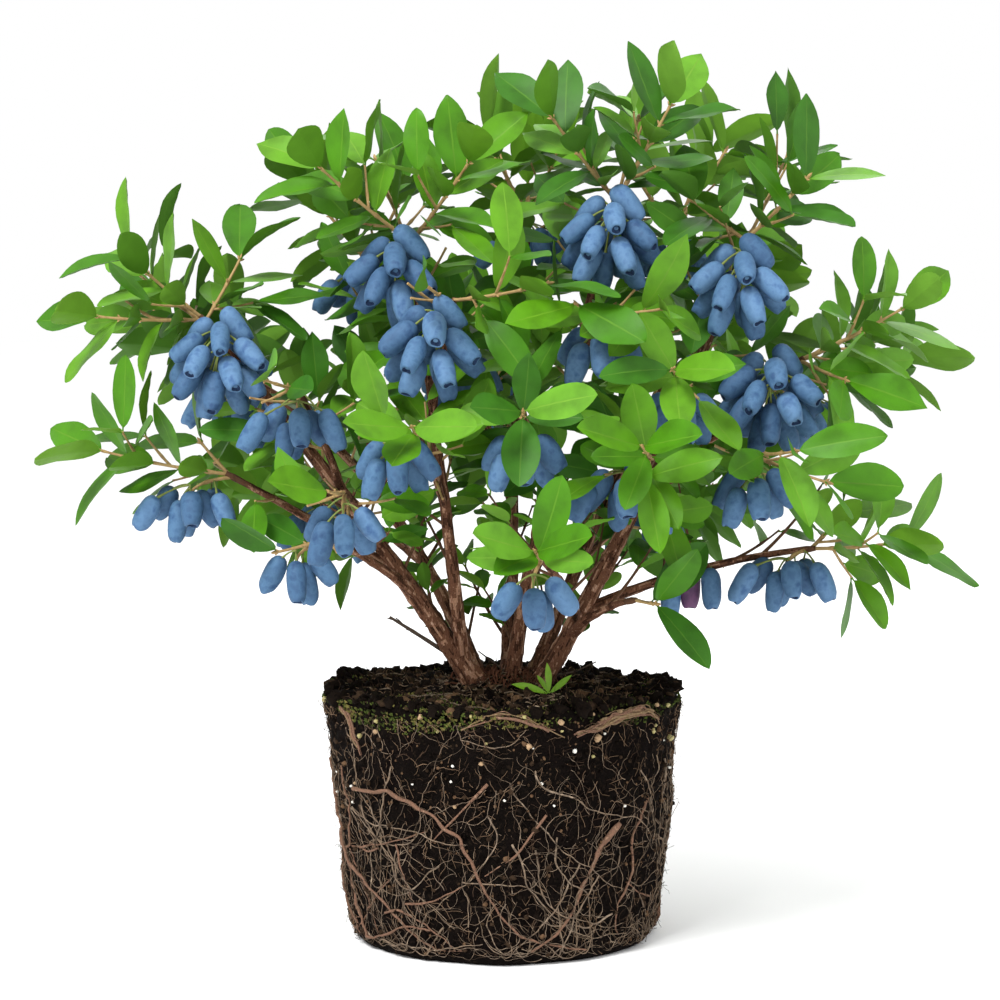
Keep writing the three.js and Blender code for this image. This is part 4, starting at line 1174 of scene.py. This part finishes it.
def hang_fruit(centre, way, line, shape, draw, shown):
    """Adds a fruit on a stalk from the nearest of a line, with free air ahead of it where it is shown."""
    steps = np.linspace(-0.5, 0.5, 11)[:, None]
    core = centre + way * steps * FRUIT_LENGTH
    round_at = np.sqrt(np.clip(1 - (steps * 2) ** 4, 0, 1)) * FRUIT_RADIUS
    take(core, wide=True)
    side = unit(np.cross(way, heading(10, 0)))
    other = np.cross(way, side)
    for turn in np.linspace(0, 2 * math.pi, 13)[:-1]:
        ring = (side * math.cos(turn) + other * math.sin(turn)) * round_at
        take(core + ring)
        take(core + ring * 0.6)
        if shown:
            shade(core + ring * 0.8 + AHEAD)
    top = fruit_form(shape, centre, way, draw)
    hold = nearest_on([line], top + UP * 8)
    curve = Curve(hold, (hold + top) / 2 + UP * 2.5, top + way * 1.2)
    stalks.add_tube(curve.points(0, 1, 6), np.array([0.75, 0.6, 0.55, 0.6, 0.8, 1.5]), 5)


for spray in sprays:
    draw = stream(FRUIT, spray.index)
    core = np.linspace(-0.45, 0.45, 9)[:, None] * FRUIT_LENGTH
    kept = [(centre, way) for centre, way in pack_fruit(spray) if is_free(centre + way * core)]
    open_ahead = spray.fruit < 4 or spray.fruit > 5
    middle = (spray.spur + spray.centre) / 2
    for centre, way in kept:
        line = [spray.spur_foot, spray.spur, middle]
        hang_fruit(centre, way, line, fruits[int(draw(0, 2.99))], draw, open_ahead and centre[1] < 0)
    if kept:
        curve = Curve(spray.spur_foot, spray.spur + UP * 2, middle)
        twig_form(young, curve, 1.3, 0.8, (0.5, 0.95))
        take(curve.points(0.2, 1, 16))
for number, (share, aside, ahead, fall, bloom) in enumerate(LONE_FRUIT):
    curve = limbs[LONE_BOUGH].curve
    centre = curve.spot(share) + [aside, ahead, -fall]
    way = unit(np.array([aside * 0.02, -0.15, -1]))
    hang_fruit(centre, way, curve.points(0.1, 0.9, 30), fruits[bloom], stream(LONE, number), True)


# Growing the leaves. Each spray has its own green, and some of its leaves the next one.

leaves = [Shape() for _ in GREENS]


def leafy(spray, shoot, shoot_index, tone, first, size):
    """Grows opposite pairs all along a shoot, from its tip to its foot, and lists the nodes."""
    pairs = max(int(round((shoot.length * 0.97 - first) / PAIR_STEP)), 1)
    shares = np.linspace(first / shoot.length, 0.97, pairs + 1)
    for pair in range(pairs, -1, -1):
        share = shares[pair]
        short = 1 - LEAF_SHORT_FOOT * (1 - share) ** 2
        lean = LEAN_FOOT + (LEAN_TIP - LEAN_FOOT) * share
        for side in (0, 1):
            keys = (spray.index, shoot_index, pair, side)
            draw = stream(TONE, *keys)
            step = (draw() < 0.3) + (share > 0.9 and draw() < 0.4)
            shape = leaves[(tone + step) % len(GREENS)]
            grow_leaf(shape, shoot, share, pair * 90 + side * 180, lean, size * short, keys)
    return shares


def side_twig(spray, parent, share, roll, lean, length, keys):
    """Grows a short leafy twig out of a shoot or limb where there is room for it."""
    draw = stream(SIDE_TWIG, *keys)
    for attempt in range(4):
        turned = roll + draw(-30, 30) * (1 + attempt)
        root, way, _, _ = leaf_pose(parent, share, turned, lean + draw(-12, 12), length)
        tip = root + way * length + UP * length * 0.15
        curve = Curve(root, (root + tip) / 2 - UP * length * 0.05, tip)
        if is_free(curve.points(0.3, 1, 8)):
            take(curve.points(0.2, 1, 12))
            nodes = leafy(spray, curve, keys[-1] + 100, spray.tone, length * 0.42, LEAF_LENGTH * 0.86)
            twig_form(young, curve, 0.95, 0.6, nodes)
            return


def low_twig(spray, parent, share, length, keys):
    """Grows a thin dark twig with a few small leaves at its tip, low down behind the stems."""
    draw = stream(DARK_TWIG, *keys)
    for _ in range(5):
        root = parent.spot(share)
        way = unit(parent.way(share) * 0.5 + heading(draw(-25, 205), draw(10, 60)))
        tip = root + way * length
        curve = Curve(root, (root + tip) / 2 - UP * length * 0.08, tip)
        if is_free(curve.points(0.25, 1, 12)):
            take(curve.points(0.2, 1, 16))
            nodes = leafy(spray, curve, keys[-1] + 200, spray.tone, length * 0.62, LEAF_LENGTH * 0.62)
            twig_form(forks, curve, 1.15, 0.5, nodes)
            return


for spray in sprays:
    for shoot_index, shoot in enumerate(spray.shoots):
        nodes = leafy(spray, shoot, shoot_index, spray.tone, 11, LEAF_LENGTH)
        twig_form(young, shoot, 1.25, 0.75, nodes)
        draw = stream(BUD, spray.index, shoot_index)
        bud_form(young, shoot.spot(1.0), shoot.way(1.0), 1.15)
        for node in nodes[-3:]:
            turn = draw(0, 180)
            for side in (0, 180):
                aside = leaf_pose(shoot, node, turn + side, 50, 1)[1]
                bud_form(young, shoot.spot(node) + aside * 0.5, aside, draw(0.6, 0.85))
for spray in sprays:
    for shoot_index, shoot in enumerate(spray.shoots):
        for node in range(int(shoot.length // SHOOT_TWIG_STEP)):
            share, roll = min(0.2 + node * 0.24, 0.8), 45 + 90 * node + 180 * (node % 2)
            side_twig(spray, shoot, share, roll, 52, 24, (spray.index, shoot_index, node))
    curve = spray.limb.curve
    for node in range(int(curve.length * 0.8 / LIMB_TWIG_STEP)):
        share = 1 - 0.02 - node * LIMB_TWIG_STEP / curve.length
        foot = curve.spot(share)
        keys = (spray.index, 30, node)
        draw = stream(LIMB_TWIG, *keys)
        if foot[2] < LOWEST_TWIG:
            break
        if foot[2] < (LEAFY_FRONT if foot[1] < BACK_FROM else LEAFY_BACK):
            if draw() < 0.8:
                low_twig(spray, curve, share, draw(28, 62), keys)
            continue
        roll = math.degrees(GOLDEN_ANGLE) * node + draw(0, 90)
        side_twig(spray, curve, share, roll, draw(45, 75), draw(22, 38), keys)
for number, curve in enumerate(low_twigs):
    nodes = leafy(sprays[number], curve, 300, number % len(GREENS), curve.length * 0.42, LEAF_LENGTH * 0.5)
    twig_form(forks, curve, 1.15, 0.5, nodes)


# Materials


def colour(code):
    """Linear colour of an sRGB hex code."""
    parts = [int(code[i : i + 2], 16) / 255 for i in (0, 2, 4)]
    return [((c + 0.055) / 1.055) ** 2.4 if c > 0.04 else c / 12.92 for c in parts] + [1.0]


def noise_node(tree, place, size, detail):
    made = tree.nodes.new("ShaderNodeTexNoise")
    made.inputs["Scale"].default_value = 1 / (size * MM)
    made.inputs["Detail"].default_value = detail
    tree.links.new(place, made.inputs["Vector"])
    return made.outputs["Fac"]


def make_material(name, tones, size, rough, shine=0.5, bump=0.0, bump_size=1.0, stretch=(1, 1, 1)):
    """Tones mixed by noise in patches of a size in mm, over bumps of their own height and size."""
    tones = tones.split()
    made = bpy.data.materials.new(name)
    made.use_nodes = True
    nodes, links = made.node_tree.nodes, made.node_tree.links
    shader = nodes["Principled BSDF"]
    shader.inputs["Roughness"].default_value = rough
    shader.inputs["Specular IOR Level"].default_value = shine
    place = nodes.new("ShaderNodeMapping")
    place.inputs["Scale"].default_value = stretch
    links.new(nodes.new("ShaderNodeTexCoord").outputs["Object"], place.inputs["Vector"])
    place = place.outputs["Vector"]
    ramp = nodes.new("ShaderNodeValToRGB")
    while len(ramp.color_ramp.elements) < len(tones):
        ramp.color_ramp.elements.new(1)
    for i, tone in enumerate(tones):
        ramp.color_ramp.elements[i].position = 0.3 + 0.4 * i / (len(tones) - 1)
        ramp.color_ramp.elements[i].color = colour(tone)
    links.new(noise_node(made.node_tree, place, size, 3), ramp.inputs["Fac"])
    links.new(ramp.outputs["Color"], shader.inputs["Base Color"])
    if bump:
        bumps = nodes.new("ShaderNodeBump")
        bumps.inputs["Distance"].default_value = bump * MM
        links.new(noise_node(made.node_tree, place, bump_size, 4), bumps.inputs["Height"])
        links.new(bumps.outputs["Normal"], shader.inputs["Normal"])
    return made


# Each kind's materials: name, tones, patch size, roughness, shine, bumps' height and size, stretch
BARK_STRETCH = (1, 1, 0.28)
LOOKS = {
    "compost": [("compost", "050302 100b09 080605 1b140f", 3, 0.96, 0.04, 0.6, 1.0)],
    "crumbs": [
        ("crumbs dark", "090706 17110d 0f0b09", 3, 0.96, 0.04, 0.4, 0.8),
        ("crumbs brown", "231a13 382b20 1c150f", 3, 0.95, 0.05, 0.4, 0.8),
        ("crumbs bark", "493525 654d38 33261b", 3, 0.9, 0.1, 0.3, 0.8),
    ],
    "roots": [
        ("roots", "4c382c 7a5a48 604839 8d6e59", 2.5, 0.85, 0.2, 0.15, 0.8),
        ("strands", "534330 826d54 6b573c 957f61", 4, 0.85, 0.1, 0.1, 0.6),
    ],
    "fine": [
        ("fine roots", "42382f 826f5c 605347 9e8a75", 7, 0.85, 0.15),
        ("bark fibres", "3a241a 5d3b2b 472d20", 4, 0.9, 0.1),
    ],
    "fibres": [
        ("fibres dark", "14100d 271e18", 5, 0.95, 0.05),
        ("fibres brown", "32261e 4b3b2f", 5, 0.95, 0.05),
        ("fibres tan", "5b4838 7c6550", 5, 0.9, 0.1),
    ],
    "grains": [
        ("grit", "d8d4ca efece4", 1, 0.9, 0.5, 0.2, 0.5),
        ("feed grains", "8f8650 a89d66 7d7040", 2, 0.45, 0.5, 0.03, 1),
        ("bark grains", "8e7253 ad8f6c 7d6247", 2, 0.8, 0.5, 0.1, 0.7),
    ],
    "moss": [
        ("moss dark", "20220f 313518", 4, 0.9, 0.1),
        ("moss", "333e17 485223", 4, 0.9, 0.1),
        ("moss dry", "57502a 716a3a", 4, 0.9, 0.1),
        ("seedling", "69971f 80ab30", 8, 0.5, 0.3),
    ],
    "bark": [
        ("bark", "2f1c13 6b4734 573929 99705a", 1.1, 0.85, 0.15, 0.35, 0.6, BARK_STRETCH),
        ("bark grooves", "1c110b 4a3022 2b1a12", 1.1, 0.9, 0.1, 0.3, 0.6, BARK_STRETCH),
        ("bark flakes", "5a3b2a a27c63 86604b bf9f88", 1.1, 0.85, 0.2, 0.35, 0.6, BARK_STRETCH),
    ],
    "dead": [("dead wood", "2e251f 51453b 3d332b", 3, 0.9, 0.1, 0.2, 0.8)],
    "young": [
        ("young bark", "86693f a68a5b 967a4c", 5, 0.65, 0.3, 0.06, 0.7),
        ("buds", "94744a b0925f", 2, 0.6, 0.3, 0.05, 0.5),
    ],
    "stalks": [("stalks", "66733a 7e8a48", 4, 0.7, 0.2)],
    "forks": [("twig bark", "3f2a1e 634633 513727", 4, 0.8, 0.15, 0.2, 0.9)],
}
for name, tones in BLOOMS:
    LOOKS[name] = [
        (name, tones, 6, 0.68, 0.28, 0.05, 0.8),
        # Second material: near-black blue on the crater's inner wall, painted shade in the hollow
        (name + " ring", "18233a 2b3d5c", 2, 0.85, 0.1),
    ]
MIDRIB_TINT, UNDERSIDE_TINT = np.array([170, 195, 90]), np.array([145, 175, 95])
for code in GREENS:
    # A leaf's top, its midrib and its underside
    base = np.array([int(code[i : i + 2], 16) for i in (0, 2, 4)], float)
    pale, under = base * 0.84 + MIDRIB_TINT * 0.16, base * 0.78 + UNDERSIDE_TINT * 0.22
    top, midrib, below = (
        " ".join("".join(f"{int(min(part, 255)):02x}" for part in tone * share) for share in shares)
        for tone, shares in ((base, (0.88, 1, 1.07)), (pale, (1, 0.93)), (under, (1, 0.93)))
    )
    LOOKS[code] = [
        ("leaf " + code, top, 14, 0.48, 0.19, 0.05, 0.9),
        ("midrib " + code, midrib, 6, 0.5, 0.19),
        ("underside " + code, below, 10, 0.6, 0.14),
    ]
looks = {kind: [make_material(*row) for row in rows] for kind, rows in LOOKS.items()}

# Pieces
thick_roots, fine_roots = root_shapes()
piece("compost", soil_shape(), looks["compost"], ["root_ball"])
piece("roots", thick_roots, looks["roots"])
piece("fine_roots", fine_roots, looks["fine"])
piece("fibres", fibre_shape(), looks["fibres"])
piece("crumbs", crumb_shape(), looks["crumbs"])
piece("grains", grain_shape(), looks["grains"])
piece("moss", moss_shape(), looks["moss"])
piece("stems", stems, looks["bark"], [name for name in limbs if name.startswith("stem")])
piece("boughs", boughs, looks["bark"], [name for name in limbs if name.startswith("bough")])
piece("dead_twig", dead, looks["dead"], ["twig_dead"])
piece("twig_forks", forks, looks["forks"])
piece("shoots", young, looks["young"])
piece("stalks", stalks, looks["stalks"])
for number, (shape, (name, _)) in enumerate(zip(fruits, BLOOMS), 1):
    piece(f"fruit_{number}", shape, looks[name])
for tone, (shape, code) in enumerate(zip(leaves, GREENS)):
    nodes = [spray.name for spray in sprays if spray.tone == tone]
    piece(f"leaves_{tone + 1}", shape, looks[code], nodes)

# Floor, light and camera
mesh = bpy.data.meshes.new("floor")
mesh.from_pydata([(-8, -8, 0), (8, -8, 0), (8, 12, 0), (-8, 12, 0)], [], [(0, 1, 2, 3)])
mesh.materials.append(make_material("floor", "fefefe ffffff", 400, 0.95, 0.0))
floor = bpy.data.objects.new("floor", mesh)
bpy.context.scene.collection.objects.link(floor)

world = bpy.data.worlds.new("studio")
world.use_nodes = True
world.node_tree.nodes["Background"].inputs["Color"].default_value = (1, 1, 1, 1)
world.node_tree.nodes["Background"].inputs["Strength"].default_value = 1.0
bpy.context.scene.world = world
bpy.context.scene.view_settings.view_transform = "Standard"


def look_at(made, spot, target):
    """Puts a light or camera at a spot, turned towards a target."""
    made.location = spot
    made.rotation_euler = (Vector(target) - Vector(spot)).to_track_quat("-Z", "Y").to_euler()
    bpy.context.scene.collection.objects.link(made)


# Each light: place, size, power
LIGHTS = {
    "key": ((-0.9, -1.5, 2.2), 0.9, 74),
    "fill": ((1.8, -1.4, 1.2), 1.6, 10),
    "rim": ((0.6, 1.9, 1.9), 1.2, 14),
}
for name, (spot, size, power) in LIGHTS.items():
    data = bpy.data.lights.new(name, "AREA")
    data.size, data.energy = size, power
    look_at(bpy.data.objects.new(name, data), spot, (0, 0, 0.28))

data = bpy.data.cameras.new("camera")
data.sensor_width, data.lens = 36, 108
camera = bpy.data.objects.new("camera", data)
look_at(camera, (0, -1.8, 0.414), (-0.0018, 0, 0.2634))
bpy.context.scene.camera = camera
